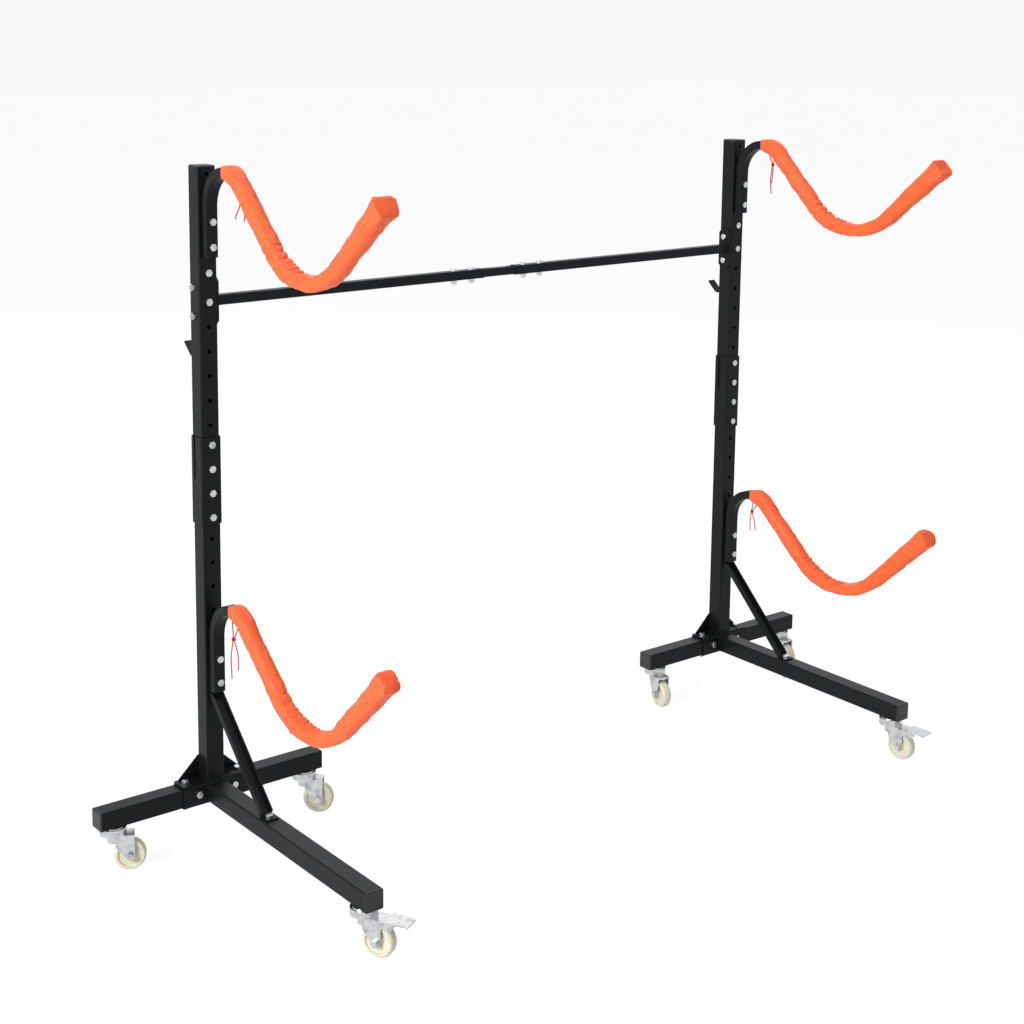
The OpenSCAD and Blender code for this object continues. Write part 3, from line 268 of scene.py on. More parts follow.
def cord_fabric():
    m, nodes, links, p = new_material("red_cord")
    uv = nodes.new("ShaderNodeTexCoord").outputs["UV"]
    turn = nodes.new("ShaderNodeMapping")
    turn.inputs["Rotation"].default_value = (0.0, 0.0, radians(38))
    links.new(uv, turn.inputs["Vector"])
    twist = wave(nodes, links, turn.outputs["Vector"], "X", 420.0)
    # the cord is lighter on the twist's raised strands and darker in its grooves, where the bump is low:
    # painted light and shade
    colour = ramp(nodes, links, twist, [(0.1, (0.34, 0.008, 0.006)), (0.7, (0.66, 0.022, 0.014))])
    links.new(colour, p.inputs["Base Color"])
    links.new(spread(nodes, links, twist, 0.6, 0.75), p.inputs["Roughness"])
    links.new(bump(nodes, links, twist, 0.6, 0.0004), p.inputs["Normal"])
    return m


COAT, ZINC, NYLON, CAP = powder_coat(), bright_zinc(), wheel_nylon(), cap_plastic()
FABRIC, LINING_PAINTED_SHADE, CORD = cover_fabric(), cover_inside_painted_shade(), cord_fabric()
LOOKS = {"powder_coat": COAT, "zinc": ZINC, "wheel_nylon": NYLON, "cap_plastic": CAP,
         "cover_fabric": FABRIC, "drawstring": CORD}
for row in frame["record"]["subparts"]:
    node = frame["nodes"][row["node"]]
    node.data.materials.clear()
    node.data.materials.append(LOOKS[row["material_slot"]])


# ---------------------------------------------------------------- mesh helpers
def mesh_piece(name, points, faces, materials, uvs=None, slots=None, corners=None):
    """New mesh object from points in mm.

    uvs holds one pair per point, or else corners one list of pairs per face, both in metres.
    """
    mesh = bpy.data.meshes.new(name)
    mesh.from_pydata([Vector(p) * MM for p in points], [], faces)
    for m in materials:
        mesh.materials.append(m)
    if uvs or corners:
        layer = mesh.uv_layers.new(name="flat")
        for poly in mesh.polygons:
            for k, corner in enumerate(poly.loop_indices):
                point = mesh.loops[corner].vertex_index
                layer.data[corner].uv = corners[poly.index][k] if corners else uvs[point]
    for i, poly in enumerate(mesh.polygons):
        poly.use_smooth = True
        if slots:
            poly.material_index = slots[i]
    mesh.update()
    o = bpy.data.objects.new(name, mesh)
    bpy.context.scene.collection.objects.link(o)
    return o


def smooth_line(points, steps):
    """Catmull-Rom line through given points."""
    pts = [Vector(p) for p in points]
    out = []
    for i in range(len(pts) - 1):
        a, b, c, d = pts[max(i - 1, 0)], pts[i], pts[i + 1], pts[min(i + 2, len(pts) - 1)]
        for k in range(steps):
            t = k / steps
            out.append(b + t * (c - a) / 2 + t * t * (2 * a - 5 * b + 4 * c - d) / 2
                       + t ** 3 * (3 * b - a - 3 * c + d) / 2)
    out.append(pts[-1])
    return out


def swept(line, radius, sides, closed=False):
    """Points, faces and uvs of a tube along a line; radius is a number or a function of the share."""
    n = len(line)
    points, uvs, faces = [], [], []
    side = None
    length = 0.0
    for i, p in enumerate(line):
        ahead = line[(i + 1) % n] if closed or i < n - 1 else line[i]
        back = line[i - 1] if closed or i > 0 else line[i]
        way = (ahead - back).normalized()
        if side is None:
            side = way.cross(Vector((0.31, 0.83, 0.46))).normalized()
        side = (side - way * side.dot(way)).normalized()
        other = way.cross(side)
        r = radius(i / (n - 1)) if callable(radius) else radius
        if i:
            length += (p - line[i - 1]).length
        for j in range(sides):
            a = 2 * pi * j / sides
            points.append(p + side * (r * cos(a)) + other * (r * sin(a)))
            uvs.append((j / sides * 2 * pi * r * MM, length * MM))
    for i in range(n if closed else n - 1):
        for j in range(sides):
            a, b = i * sides + j, i * sides + (j + 1) % sides
            c, d = (a + sides) % (n * sides), (b + sides) % (n * sides)
            faces.append((a, b, d, c))
    if not closed:
        faces.append(tuple(range(sides - 1, -1, -1)))
        faces.append(tuple((n - 1) * sides + j for j in range(sides)))
    return points, faces, uvs


def joined(*parts):
    """One set of points, faces and uvs from several."""
    points, faces, uvs = [], [], []
    for p, f, u in parts:
        base = len(points)
        points += p
        faces += [tuple(v + base for v in face) for face in f]
        uvs += u
    return points, faces, uvs


def at_arm(level, side, p):
    """Point from across, forward and up of the middle of an arm's bolts, to the rack's frame, in mm."""
    z, off = LEVELS[level][3:]
    return Vector((STAND_X[side] + p[0], POST_Y - off + p[1], z + p[2]))


# ---------------------------------------------------------------- the arm's path
def arm_length(level):
    rise, bend, tip = LEVELS[level][:3]
    return rise + TOP_R * bend + SLOPE + CRADLE_R * CRADLE_BEND + tip


def arm_place(level, s):
    """Forward and up of the axis at distance s, and its angle from straight up."""
    rise, bend = LEVELS[level][:2]
    b1, b2 = TOP_R * bend, CRADLE_R * CRADLE_BEND
    if s < rise:
        return 0.0, s, 0.0
    if s < rise + b1:
        a = (s - rise) / TOP_R
        return TOP_R * (1 - cos(a)), rise + TOP_R * sin(a), a
    f, u = TOP_R * (1 - cos(bend)), rise + TOP_R * sin(bend)
    after = s - rise - b1 - SLOPE
    if after < 0:
        return f + sin(bend) * (SLOPE + after), u + cos(bend) * (SLOPE + after), bend
    f += sin(bend) * SLOPE - cos(bend) * CRADLE_R
    u += cos(bend) * SLOPE + sin(bend) * CRADLE_R
    turn = bend - min(after, b2) / CRADLE_R
    f, u = f + cos(turn) * CRADLE_R, u - sin(turn) * CRADLE_R
    beyond = max(after - b2, 0.0)
    return f + sin(turn) * beyond, u + cos(turn) * beyond, turn


def around(level, s, x, out):
    """Point x across and out from the axis; out is away from the centre of the top bend."""
    f, u, h = arm_place(level, s)
    return Vector((x, -(f - cos(h) * out), u + sin(h) * out))


def clamp(v, low=0.0, high=1.0):
    return min(max(v, low), high)


def cover_ends(level):
    return LEVELS[level][0] + TOP_R * COVER_BARE, arm_length(level) + COVER_END


def cover_halves(f):
    """Half width and half depth of a cover at a share f of its length."""
    flared = FLARE * max((f - 0.6) / 0.4, 0.0) ** 1.5
    pinched = PINCH * sin(pi * clamp((f - 0.4) / 0.32))
    padded = HEM_D + (PAD_D - HEM_D) * min(f * COVER_RUN / NECK, 1.0)
    return ARM_W / 2 + PAD_W + 0.8 * flared, ARM_D / 2 + padded + flared - pinched


# ---------------------------------------------------------------- drawstrings
CORD_R = 1.2
STRING_GAP, STRING_LEAD = 0.4, 3.0
# A strand leaves the cover at a distance along the arm and across, then follows its points.
STRANDS = {
    ("upper", "left"): [
        (224, -3, [(-3, -112, 78.5), (-2, -115, 73.5), (-1.3, -118, 69), (-1.5, -116, 63), (-2, -112, 56),
                   (-3, -107, 48), (-3, -103, 39)]),
        (232, 3, [(3, -117, 74), (2, -118.5, 71), (1.3, -120, 68), (2, -122, 62), (3, -125, 55),
                  (4, -125, 46), (4, -122, 36)])],
    ("lower", "left"): [
        (188, -9, [(-7, -75, 110), (-4, -71, 100), (-2, -68, 92), (-1.3, -66, 85), (-1.3, -65, 76),
                   (-2, -63, 64), (-3, -61, 48), (-3, -60, 32), (-2, -60, 16), (-1, -59, -1)]),
        (202, -3, [(-1, -84, 108), (1, -77, 98), (2, -71, 91), (1.3, -68, 85), (1.3, -67, 76),
                   (3, -69, 66), (5, -72, 54), (5, -74, 38), (4, -75, 20)])],
    ("upper", "right"): [
        (191, -2, [(-2.5, -92, 93), (-2, -97, 86), (-1.3, -98, 81), (-1.3, -98, 75), (-2, -97, 62),
                   (-3, -96, 46), (-2, -96, 28), (-1, -98, 10)]),
        (201, 3, [(3, -98, 90), (2, -100, 86), (1.3, -99, 81), (1.3, -99, 75), (3, -97, 64),
                  (5, -94, 50), (5, -92, 34)])],
    ("lower", "right"): [
        (186, -8, [(-6, -74, 112), (-3, -70, 105), (-1.3, -67, 99), (-1.3, -66, 94), (-2, -65, 82),
                   (-3, -65, 66), (-2, -65, 50)]),
        (194, -2, [(0, -78, 110), (1.5, -72, 104), (1.3, -68.5, 99), (1.3, -67, 94), (3, -69, 84),
                   (5, -73, 68), (5, -75, 50)])],
}
# place and size of each knot in its strands' points
KNOT_AT = {("upper", "left"): ((0, -119, 68.5), 1.0), ("lower", "left"): ((0, -66.5, 81), 1.3),
           ("upper", "right"): ((0, -98.5, 78), 1.2), ("lower", "right"): ((0, -67, 96.5), 1.25)}


def knot(name, centre, size):
    """Overhand knot: a trefoil of cord, pulled flat."""
    line, steps = [], 84
    for i in range(steps):
        t = 2 * pi * i / steps
        turn = Vector((0.9 * (cos(t) - 2 * cos(2 * t)), 0.8 * (sin(t) + 2 * sin(2 * t)), -1.6 * sin(3 * t)))
        line.append(turn * size + centre)
    points, faces, uvs = swept(line, CORD_R * size ** 0.5, 12, closed=True)
    return mesh_piece(name, points, faces, [CORD], uvs)


def make_strings():
    """Both strands of each cover, the first with the knot that ties them."""
    for (level, side), strands in STRANDS.items():
        place, size = KNOT_AT[(level, side)]
        tie = knot("knot_%s_%s" % (level, side), at_arm(level, side, place), size)
        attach(tie, BODY[side])
        for i, (s, x, rest) in enumerate(strands):
            first, last = cover_ends(level)
            out = cover_halves((s - first) / (last - first))[1] + STRING_GAP
            lead = [around(level, s, x, -out), around(level, s, x, -(out + STRING_LEAD))]
            line = smooth_line([at_arm(level, side, p) for p in lead + rest], 6)
            points, faces, uvs = swept(line, CORD_R, 12)
            o = mesh_piece("string_%s_%s_%s" % (level, side, "ab"[i]), points, faces, [CORD], uvs)
            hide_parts("%s_string_%s" % (level, side))
            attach(o, BODY[side])


make_strings()


# ---------------------------------------------------------------- padded covers
RINGS, SIDES = 212, 56
GROW = 10.0                 # the cloth is simulated ten times larger
FABRIC_GAP = 1.7            # from the padding to the fabric before it settles
START_IN = 0.9              # how far inside the cover's outline the fabric starts
LAST_FRAME = 24             # of the cloth simulation
MOST_MOVE = 6.0             # that a point of the fabric may settle by
SQUARENESS = 6              # power of the section's outline: 2 is round, more is squarer


def square_round(a):
    """Outline of the cover's section at angle a, for half sizes of 1."""
    c, s = cos(a), sin(a)
    k = 1 / (c ** SQUARENESS + s ** SQUARENESS) ** (1 / SQUARENESS)
    return k * c, k * s


def outline_angles(n):
    """Angles that share the section's outline into equal steps, from the middle of the underside."""
    fine = 720
    pts = [square_round(-pi / 2 + 2 * pi * i / fine) for i in range(fine + 1)]
    run = [0.0]
    for p, q in zip(pts, pts[1:]):
        run.append(run[-1] + sqrt((q[0] - p[0]) ** 2 + (q[1] - p[1]) ** 2))
    out, j = [], 0
    for i in range(n):
        want = run[-1] * i / n
        while run[j + 1] < want:
            j += 1
        share = (want - run[j]) / (run[j + 1] - run[j])
        out.append(-pi / 2 + 2 * pi * (j + share) / fine)
    return out


ANGLES = outline_angles(SIDES)


def cover_rows(level):
    """Distance along the arm of each ring of fabric."""
    first, last = cover_ends(level)
    end = last - 0.6 * COVER_END
    return [first + (end - first) * i / (RINGS - 1) for i in range(RINGS)]


def section(level, s):
    first, last = cover_ends(level)
    return cover_halves(clamp((s - first) / (last - first)))


def pucker(level, s, a, seed):
    """Small gathers of the sewn ends, in mm: at the drawn-in hem and where the tip is closed."""
    first, last = cover_ends(level)
    hem = clamp(1 - abs(s - first - 9) / 13)
    tip = clamp((s - last + 34) / 34) ** 1.5
    return (0.45 * hem * sin(9 * a + 2 * sin(2 * a + seed))
            + 1.2 * tip * sin(7 * a + 1.7 * sin(3 * a + seed)) * (0.4 + 0.6 * abs(cos(a))))


def ring_points(level, s, less, seed=None):
    """Ring of the cover at s, smaller by a gap all round, in the arm's own frame."""
    half_w, half_d = section(level, s)
    out = []
    for a in ANGLES:
        g = less - (pucker(level, s, a, seed) if seed is not None else 0.0)
        c, t = square_round(a)
        out.append(around(level, s, c * (half_w - g), t * (half_d - g)))
    return out


def straight_sleeve(level, rows, slack, loose):
    """The cover as it is sewn: a straight sleeve as long as the outside of each bend."""
    out, z = [], 0.0
    for i, s in enumerate(rows):
        half_w, half_d = section(level, s)
        if i:
            turn = abs(arm_turn(level, s) - arm_turn(level, rows[i - 1]))
            z += (s - rows[i - 1]) * slack + turn * half_d * 0.9
        k = 1.0 + (loose - 1.0) * clamp(i / 8) * clamp((len(rows) - 1 - i) / 8)
        outline = (square_round(a) for a in ANGLES)
        out.append([Vector((x * half_w * k, y * half_d * k, z)) for x, y in outline])
    return out


def arm_turn(level, s):
    """Angle that the arm has turned at s, counted from the bolts."""
    rise, top_angle = LEVELS[level][:2]
    return (clamp((s - rise) / (TOP_R * top_angle)) * top_angle
            - clamp((s - rise - TOP_R * top_angle - SLOPE) / (CRADLE_R * CRADLE_BEND)) * CRADLE_BEND)


def tube_faces(n, rows):
    return [(i * n + j, i * n + (j + 1) % n, (i + 1) * n + (j + 1) % n, (i + 1) * n + j)
            for i in range(rows - 1) for j in range(n)]


def raw_mesh(name, points, faces, scale):
    me = bpy.data.meshes.new(name)
    me.from_pydata([p * scale for p in points], [], faces)
    o = bpy.data.objects.new(name, me)
    bpy.context.scene.collection.objects.link(o)
    return o


def settle(level, seed):
    """Fabric of one cover, laid over its padding by a cloth simulation, as rings of points in mm."""
    rows = cover_rows(level)
    rnd = random.Random(seed)
    start = [p for s in rows for p in ring_points(level, s, START_IN, seed)]
    scale = GROW * MM
    sleeve = straight_sleeve(level, rows, slack=1.05, loose=1.06)
    cloth_object = raw_mesh("settling_fabric", start, tube_faces(SIDES, len(rows)), scale)
    cloth_object.shape_key_add(name="Basis")
    rest = cloth_object.shape_key_add(name="sewn")
    for i, ring in enumerate(sleeve):
        for j, p in enumerate(ring):
            rest.data[i * SIDES + j].co = p * scale
    place = Vector([rnd.uniform(0, 50) for _ in range(3)])
    for v in cloth_object.data.shape_keys.key_blocks[0].data:
        v.co = v.co + noise3.noise_vector(v.co / scale / 14 + place) * 0.7 * scale
    held = cloth_object.vertex_groups.new(name="held")
    n = len(start)
    held.add(list(range(SIDES * 2)) + list(range(n - SIDES * 2, n)), 1.0, "REPLACE")
    core = [s for i, s in enumerate(rows) if i % 3 == 0]
    inner = [p for s in core for p in ring_points(level, s, START_IN + FABRIC_GAP)]
    padding = raw_mesh("settling_padding", inner, tube_faces(SIDES, len(core)), scale)
    padding.modifiers.new("collision", "COLLISION")
    padding.collision.thickness_outer = 0.004
    padding.collision.cloth_friction = 12.0
    m = cloth_object.modifiers.new("cloth", "CLOTH")
    c = m.settings
    c.quality = 6
    c.mass = 0.4
    c.air_damping = 2.0
    c.tension_stiffness = c.compression_stiffness = 18.0
    c.shear_stiffness = 8.0
    c.bending_stiffness = 9.0
    c.tension_damping = c.compression_damping = c.shear_damping = 8.0
    c.bending_damping = 2.0
    c.vertex_group_mass = "held"
    c.rest_shape_key = rest
    c.use_pressure = True
    c.uniform_pressure_force = 1.2
    c.effector_weights.gravity = 0.0
    m.collision_settings.use_collision = True
    m.collision_settings.distance_min = 0.004
    m.collision_settings.collision_quality = 3
    m.collision_settings.use_self_collision = False
    m.point_cache.frame_start = 1
    m.point_cache.frame_end = LAST_FRAME + 6
    scene = bpy.context.scene
    for frame_number in range(1, LAST_FRAME + 1):
        scene.frame_set(frame_number)
    shape = cloth_object.evaluated_get(bpy.context.evaluated_depsgraph_get()).to_mesh()
    settled = [v.co / scale for v in shape.vertices]
    scene.frame_set(1)
    for o in (cloth_object, padding):
        data = o.data
        bpy.data.objects.remove(o)
        bpy.data.meshes.remove(data)
    out = []
    for a, b in zip(start, settled):
        move = b - a
        if move.length > MOST_MOVE:
            move = move * (MOST_MOVE / move.length)
        out.append(a + move)
    return rows, out


# how each cover closes past the end of its arm: share of the closing length, depth, width, and shift up
FLAT_TIP = [(0.2, 1.0, 1.03, 0.0), (0.42, 0.97, 1.07, 0.02), (0.62, 0.88, 1.11, 0.08),
            (0.80, 0.72, 1.14, 0.19), (0.92, 0.50, 1.16, 0.33), (1.0, 0.28, 1.17, 0.45),
            (1.05, 0.12, 1.17, 0.52), (1.06, 0.04, 1.16, 0.55)]
WIDE_TIP = [(0.2, 1.01, 1.04, 0.0), (0.45, 1.0, 1.08, 0.0), (0.66, 0.96, 1.10, 0.0),
            (0.80, 0.90, 1.09, 0.0), (0.88, 0.80, 1.06, 0.0), (0.86, 0.66, 1.0, 0.0),
            (0.80, 0.42, 0.8, 0.0), (0.74, 0.12, 0.5, 0.0)]
ROUND_TIP = [(0.2, 0.98, 0.99, 0.0), (0.42, 0.92, 0.97, 0.0), (0.62, 0.82, 0.94, 0.0),
             (0.80, 0.68, 0.89, 0.0), (0.92, 0.50, 0.80, 0.0), (1.0, 0.30, 0.62, 0.0),
             (1.0, 0.10, 0.4, 0.0)]
BEAK_TIP = [(0.2, 0.93, 1.0, 0.0), (0.42, 0.80, 1.01, 0.0), (0.62, 0.66, 1.01, 0.02),
            (0.80, 0.52, 1.0, 0.05), (0.92, 0.38, 0.99, 0.08), (1.0, 0.22, 0.97, 0.1),
            (1.02, 0.07, 0.94, 0.1)]
TIPS = {("upper", "left"): FLAT_TIP, ("upper", "right"): WIDE_TIP,
        ("lower", "left"): ROUND_TIP, ("lower", "right"): BEAK_TIP}
CLOSING = 8.5               # length of the closing part of a tip
HEM_BAND = 12.0             # from the hem to its row of stitches
ROUND_THE_COVER = 0.118     # length of fabric round the cover, in m
# the rolled hem and the lining behind it: distance along the arm, and depth under the fabric
HEM_ROLL = [(-0.55, 1.35), (-0.65, 1.9), (-0.2, 2.45), (1.2, 2.6), (4.0, 2.5), (9.0, 2.45), (16.0, 2.4)]
OFF_THE_ARM = 0.35          # least gap from the lining to the arm


def bell(v):
    """Bell curve of height 1 at 0."""
    return 2.718 ** (-v * v)


def axis_point(level, s):
    f, u = arm_place(level, s)[:2]
    return Vector((0.0, -f, u))


def halved(rows, skin):
    """The same tube of fabric with a ring between each two, on a curve through its neighbours."""
    n = SIDES
    new_rows, new_skin = [], []
    for i, s in enumerate(rows):
        new_rows.append(s)
        new_skin += skin[i * n:(i + 1) * n]
        if i == len(rows) - 1:
            break
        before, after = max(i - 1, 0), min(i + 2, len(rows) - 1)
        new_rows.append((s + rows[i + 1]) / 2)
        for j in range(n):
            a, b, c, d = (skin[k * n + j] for k in (before, i, i + 1, after))
            new_skin.append((b + c) * 0.5625 - (a + d) * 0.0625)
    return new_rows, new_skin


class Folds:
    """Seeded creases of one cover: bunched folds on the inside of the cradle, and crumples all over."""

    def __init__(self, level, seed):
        r = random.Random(seed)
        self.place = Vector((r.uniform(0, 90), r.uniform(0, 90), r.uniform(0, 90)))
        self.bunch = []
        first = LEVELS[level][0] + TOP_R * LEVELS[level][1] + SLOPE + 2
        at = first + r.uniform(-8, 8)
        while at < first + CRADLE_R * CRADLE_BEND * 0.60:
            width = r.uniform(2.2, 4.6)
            self.bunch.append((at, width, r.uniform(-24, 15), r.uniform(1.7, 4.4), r.uniform(-0.2, 1.7)))
            at += r.uniform(7.0, 24.0)
        self.loose = [(r.uniform(0.06, 0.97), r.uniform(0, 2 * pi), r.uniform(2.2, 4.0), r.uniform(-34, 34),
                       r.uniform(0.5, 1.1), r.uniform(0.6, 1.3)) for _ in range(44)]
        self.run = cover_ends(level)

    def out(self, s, a, x, y):
        """Height in mm at a distance s along the arm and an angle a round it."""
        h = 0.0
        for at, width, slant, tall, reach in self.bunch:
            away = (s - at - slant * (1 - sin(a))) / width
            if abs(away) < 9:
                near = clamp((sin(a) + reach) / (0.5 + 0.5 * reach)) ** 0.7
                h += tall * near * (0.42 * bell(away / 3.2) - bell(away))
        for share, turn, width, slant, tall, reach in self.loose:
            da = (a - turn + pi) % (2 * pi) - pi
            if abs(da) < reach:
                away = (s - self.run[0] - share * (self.run[1] - self.run[0]) - slant * da) / width
                if abs(away) < 9:
                    near = cos(da / reach * pi / 2)
                    h += tall * near * (0.5 * bell(away / 3.0) - bell(away))
        p = Vector((x * 1.1, y * 1.1, s))
        big = noise3.noise(p / 38 + self.place)
        crumple = abs(noise3.noise(Vector((x, y, s * 0.8)) / 19 - self.place))
        return h + 1.9 * big + 1.3 * (0.22 - crumple)


def cover_piece(level, side, seed):
    """Cover of one arm: settled fabric, its closed tip, the rolled hem and the lining seen in its mouth, the
    lining darkened as painted shade.
    """
    first, last = cover_ends(level)
    rows, skin = settle(level, seed)
    n = SIDES
    rows, skin = halved(rows, skin)
    folds = Folds(level, seed)
    rings = []
    for i, s in enumerate(rows):
        ring = skin[i * n:(i + 1) * n]
        h = arm_place(level, s)[2]
        middle, outward = axis_point(level, s), Vector((0.0, cos(h), sin(h)))
        free = clamp((s - first - 2) / 16) * clamp((last + 2 - s) / 20)
        swell = 2.6 * clamp((s - last + 42) / 42) ** 1.6
        by_the_hem = clamp(1 - abs(s - first - 15) / 11)
        stitch = 0.6 * bell((s - first - HEM_BAND) / 1.1)
        tight = []
        for j, (p, a) in enumerate(zip(ring, ANGLES)):
            x, out = (p - middle).x, (p - middle).dot(outward)
            along = (p - middle) - Vector((x, 0, 0)) - outward * out
            gathers = 0.55 * sin(17 * a + 2 * sin(3 * a + seed)) * by_the_hem
            grow = folds.out(s, a, x, out) * (0.15 + 0.85 * free) + swell + gathers
            seam = 0.55 * bell(min(j, n - j) / 0.8)
            room = max(abs(x) - ARM_W / 2 - 0.8, abs(out) - ARM_D / 2 - 0.8)
            drop = min(stitch + seam - grow, max(room, 0.0))
            size = max(sqrt(x * x + out * out), 1.0)
            x, out = x * (1 - drop / size), out * (1 - drop / size)
            tight.append(middle + Vector((x, 0, 0)) + outward * out + along)
        rings.append((s, tight))
    # the tip
    s0, base = rings[-1]
    h = arm_place(level, s0)[2]
    middle, ahead = axis_point(level, s0), Vector((0.0, -sin(h), cos(h)))
    half_d = section(level, s0)[1]
    outward = Vector((0.0, cos(h), sin(h)))
    for share, deep, wide, lift in TIPS[(level, side)]:
        ring = []
        for p in base:
            x, rest = (p - middle).x, (p - middle) - Vector(((p - middle).x, 0, 0))
            out = rest - ahead * rest.dot(ahead)
            ring.append(middle + ahead * (CLOSING * share + rest.dot(ahead)) + Vector((x * wide, 0, 0))
                        + out * deep + outward * (lift * half_d))
        rings.append((s0 + CLOSING * share, ring))
    points, faces, corners, slots = [], [], [], []
    run, runs = 0.0, []
    for i, (_, ring) in enumerate(rings):
        if i:
            run += sum((a - b).length for a, b in zip(ring, rings[i - 1][1])) / n
        runs.append(run * MM)
        points += [at_arm(level, side, p) for p in ring]
    for i in range(len(rings) - 1):
        for j in range(n):
            k = (j + 1) % n
            faces.append((i * n + j, i * n + k, (i + 1) * n + k, (i + 1) * n + j))
            u0, u1 = j / n * ROUND_THE_COVER, (j + 1) / n * ROUND_THE_COVER
            corners.append([(u0, runs[i]), (u1, runs[i]), (u1, runs[i + 1]), (u0, runs[i + 1])])
            slots.append(0)
    last_ring = (len(rings) - 1) * n
    faces.append(tuple(last_ring + j for j in range(n)))
    corners.append([(0.02 + 0.01 * cos(a), run * MM + 0.01 * sin(a)) for a in ANGLES])
    slots.append(0)
    # rolled hem, then the lining behind it, whose dark colour is painted shade of the cover's mouth
    half_w, half_d = section(level, first)
    back = len(points)
    for ds, less in HEM_ROLL:
        for a in ANGLES:
            c, t = square_round(a)
            x = c * max(half_w - less, ARM_W / 2 + OFF_THE_ARM)
            out = t * max(half_d - less * 1.25, ARM_D / 2 + OFF_THE_ARM)
            points.append(at_arm(level, side, around(level, first + ds, x, out)))
    for i in range(-1, len(HEM_ROLL) - 1):
        for j in range(n):
            k = (j + 1) % n
            a, b = (j, k) if i < 0 else (back + i * n + j, back + i * n + k)
            faces.append((b, a, back + (i + 1) * n + j, back + (i + 1) * n + k))
            v0, v1 = -0.002 * (i + 1), -0.002 * (i + 2)
            u0, u1 = j / n * ROUND_THE_COVER, (j + 1) / n * ROUND_THE_COVER
            corners.append([(u1, v0), (u0, v0), (u0, v1), (u1, v1)])
            slots.append(0 if i < 2 else 1)
    return mesh_piece("padded_cover_%s_%s" % (level, side), points, faces, [FABRIC, LINING_PAINTED_SHADE], slots=slots,
                      corners=corners)


def finish_cover(o, level, side):
    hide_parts("%s_cover_%s" % (level, side))
    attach(o, BODY[side])


for seed, (level, side) in enumerate((lv, sd) for lv in LEVELS for sd in STAND_X):
    finish_cover(cover_piece(level, side, 11 + seed), level, side)


# ---------------------------------------------------------------- welds
def bead(points, r=2.1, seed=1, pitch=2.6):
    """Weld bead along a line of points in mm: a lumpy half-sunk tube."""
    rnd = random.Random(seed)
    phase = rnd.uniform(0, 6)
    pts = [Vector(p) for p in points]
    length = sum((b - a).length for a, b in zip(pts, pts[1:]))
    n = max(8, int(length / 0.65))
    line = []
    for i in range(n + 1):
        want = length * i / n
        for a, b in zip(pts, pts[1:]):
            step = (b - a).length
            if want <= step + 1e-6:
                line.append(a + (b - a) * (want / step))
                break
            want -= step
    wobble = [rnd.uniform(0.93, 1.07) for _ in range(n + 2)]

    def radius(share):
        i = share * n
        ripple = 1 + 0.10 * sin(2 * pi * share * length / pitch + phase)
        ends = min(1.0, 0.35 + 3.2 * min(share, 1 - share) * length / 8.0)
        return r * ripple * ends * wobble[int(i)]

    return swept(line, radius, 10)


def stand_welds(side):
    """Welds of one stand, in mm from its post axis, then the crossbar flange's."""
    way = 1 if side == "left" else -1
    x0, parts = STAND_X[side], []
    h, leg_z, plate_z, post_z, hub = POST_W / 2, 110, 131.5, 134.5, 21.5

    def add(points, r, seed):
        parts.append(bead([(x0 + x, POST_Y + y, z) for x, y, z in points], r, seed))

    add([(-h + 2, -h - 0.3, post_z), (h - 2, -h - 0.3, post_z)], 2.0, 1)
    add([(-h + 2, h + 0.3, post_z), (h - 2, h + 0.3, post_z)], 2.0, 2)
    for k, sx in enumerate((-1, 1)):
        add([(sx * (h + 0.3), -h + 2, post_z), (sx * (h + 0.3), h - 7, post_z)], 1.9, 3 + k)
        for q, y in enumerate((h - 6, h - 3)):
            side_y = y - 0.2 if q == 0 else y + 0.2
            foot, wall = post_z + 0.1, sx * (h + 0.2)
            add([(sx * (h + 3), side_y, foot), (sx * (h + 40), side_y, foot)], 1.5, 5 + k * 4 + q)
            add([(wall, side_y, post_z + 5), (wall, side_y, post_z + 42)], 1.5, 7 + k * 4 + q)
    for k, sy in enumerate((-1, 1)):
        for q, (a, b) in enumerate(((-70, -40), (-16, 16), (40, 70))):
            add([(a, sy * 20.3, plate_z), (b, sy * 20.3, plate_z)], 1.5, 20 + k * 4 + q)
    hub_face = -hub - 0.2
    for k, sx in enumerate((-1, 1)):
        wall = sx * (h + 0.2)
        add([(wall, hub_face, leg_z - h + 3), (wall, hub_face, leg_z + h - 3)], 1.9, 30 + k)
    for k, edge in enumerate((leg_z + h + 0.1, leg_z - h - 0.1)):
        add([(-h + 3, hub_face, edge), (h - 3, hub_face, edge)], 1.8, 33 + k)
    bar, fx, bz = 10.0, way * (h + 4.0), 1094.0
    ring = []
    for i in range(33):
        a = 2 * pi * i / 32 + 0.1
        c, t = cos(a), sin(a)
        k = 1 / (abs(c) ** 8 + abs(t) ** 8) ** 0.125
        ring.append((fx + way * 0.2, k * c * (bar + 0.2), bz + k * t * (bar + 0.2)))
    add(ring, 1.7, 40)
    points, faces, uvs = joined(*parts)
    o = mesh_piece("welds_" + side, points, faces, [COAT], uvs)
    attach(o, BODY[side])


for side in STAND_X:
    stand_welds(side)


# ---------------------------------------------------------------- floor and light
def seen_or_mirrored(nodes, links):
    """1 for rays of the camera and for those that a shiny or clear surface sends on, else 0."""
    path = nodes.new("ShaderNodeLightPath")
    seen = math_node(nodes, links, "MAXIMUM", path.outputs["Is Camera Ray"], path.outputs["Is Glossy Ray"])
    return math_node(nodes, links, "MAXIMUM", seen, path.outputs["Is Transmission Ray"])


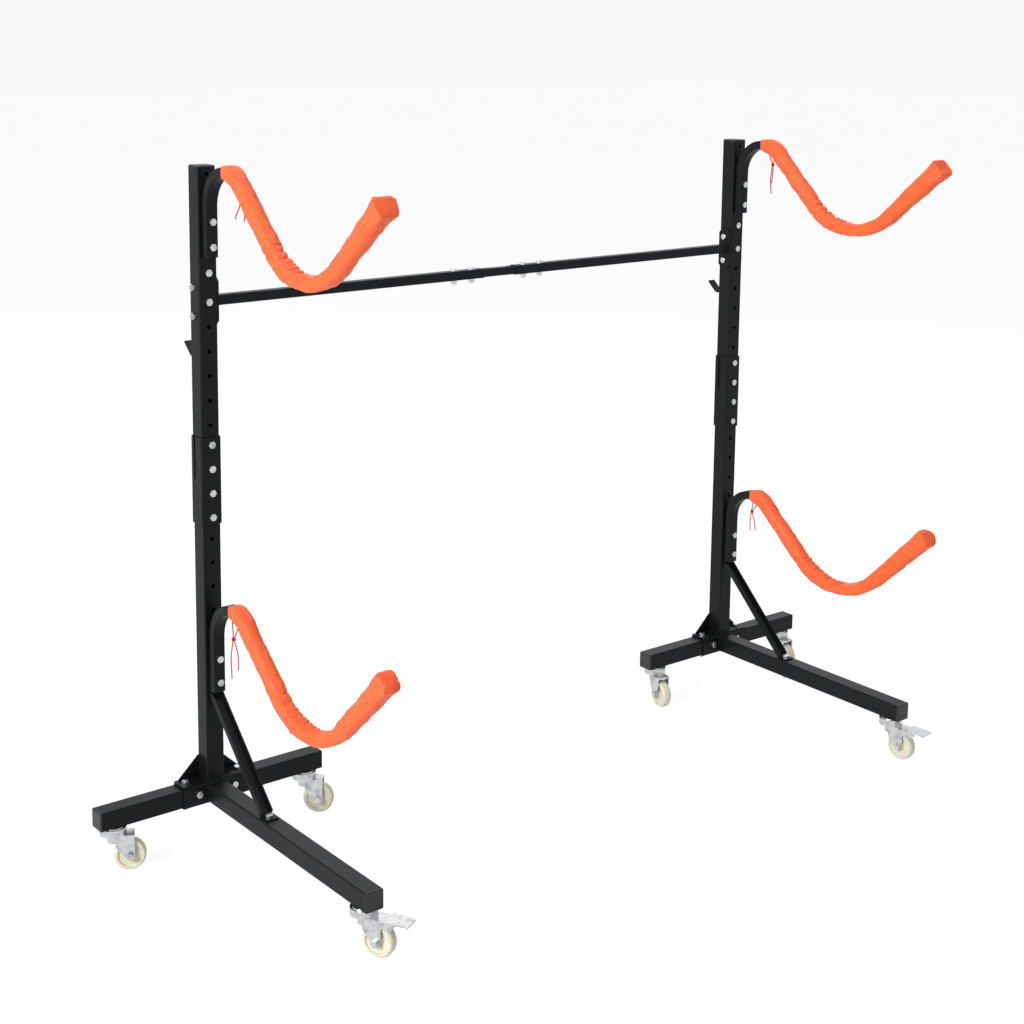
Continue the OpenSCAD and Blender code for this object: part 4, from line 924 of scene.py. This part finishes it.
def pale_floor():
    m, nodes, links, p = new_material("pale_floor")
    at = object_coords(nodes)
    soft = noise(nodes, links, at, 1.3, 2.0)
    links.new(ramp(nodes, links, soft, [(0.3, (0.80, 0.80, 0.805)), (0.7, (0.84, 0.84, 0.845))]),
              p.inputs["Base Color"])
    p.inputs["Roughness"].default_value = 0.9
    glow = nodes.new("ShaderNodeEmission")
    glow.inputs["Color"].default_value = (1.20, 1.20, 1.205, 1.0)
    share = math_node(nodes, links, "MULTIPLY", seen_or_mirrored(nodes, links), 0.72)
    mix = nodes.new("ShaderNodeMixShader")
    links.new(share, mix.inputs["Fac"])
    links.new(p.outputs["BSDF"], mix.inputs[1])
    links.new(glow.outputs["Emission"], mix.inputs[2])
    links.new(mix.outputs["Shader"], nodes["Material Output"].inputs["Surface"])
    return m


FLOOR = 30000               # half the width of the floor, in mm
floor = mesh_piece("floor", [(-FLOOR, -FLOOR, 0), (FLOOR, -FLOOR, 0), (FLOOR, FLOOR, 0), (-FLOOR, FLOOR, 0)],
                   [(0, 1, 2, 3)], [pale_floor()])


def studio():
    """World that lights the rack from the photo's left, and is pale where it is seen."""
    w = bpy.data.worlds.new("studio")
    w.use_nodes = True
    nodes, links = w.node_tree.nodes, w.node_tree.links
    bg = nodes["Background"]
    way = nodes.new("ShaderNodeSeparateXYZ")
    links.new(nodes.new("ShaderNodeTexCoord").outputs["Generated"], way.inputs["Vector"])
    leftward = math_node(nodes, links, "MULTIPLY_ADD", way.outputs["X"], -0.5, 0.5)
    sky = [(0.0, (0.30, 0.30, 0.31)), (0.5, (0.60, 0.60, 0.61)), (1.0, (1.0, 1.0, 1.0))]
    links.new(ramp(nodes, links, leftward, sky), bg.inputs["Color"])
    bg.inputs["Strength"].default_value = 0.55
    seen = nodes.new("ShaderNodeBackground")
    seen.inputs["Color"].default_value = (0.95, 0.95, 0.955, 1.0)
    mix = nodes.new("ShaderNodeMixShader")
    links.new(seen_or_mirrored(nodes, links), mix.inputs["Fac"])
    links.new(bg.outputs["Background"], mix.inputs[1])
    links.new(seen.outputs["Background"], mix.inputs[2])
    links.new(mix.outputs["Shader"], nodes["World Output"].inputs["Surface"])
    bpy.context.scene.world = w


def area_light(name, place, target, size, power):
    light = bpy.data.lights.new(name, "AREA")
    light.shape = "SQUARE"
    light.size = size
    light.energy = power
    o = bpy.data.objects.new(name, light)
    o.location = place
    o.rotation_euler = (Vector(target) - Vector(place)).to_track_quat("-Z", "Y").to_euler()
    o.visible_camera = False
    bpy.context.scene.collection.objects.link(o)


studio()
area_light("key", (-7.0, -1.4, 3.4), (0.0, 0.0, 0.8), 2.4, 490.0)
area_light("top", (0.6, 0.2, 4.4), (0.0, 0.0, 0.6), 3.6, 62.0)
area_light("fill", (2.6, -4.2, 2.2), (0.0, 0.0, 0.7), 2.6, 6.0)
area_light("behind", (2.9, 4.0, 2.5), (0.0, 0.2, 0.3), 4.0, 30.0)
bpy.context.scene.view_settings.view_transform = "Standard"

bpy.context.view_layer.update()
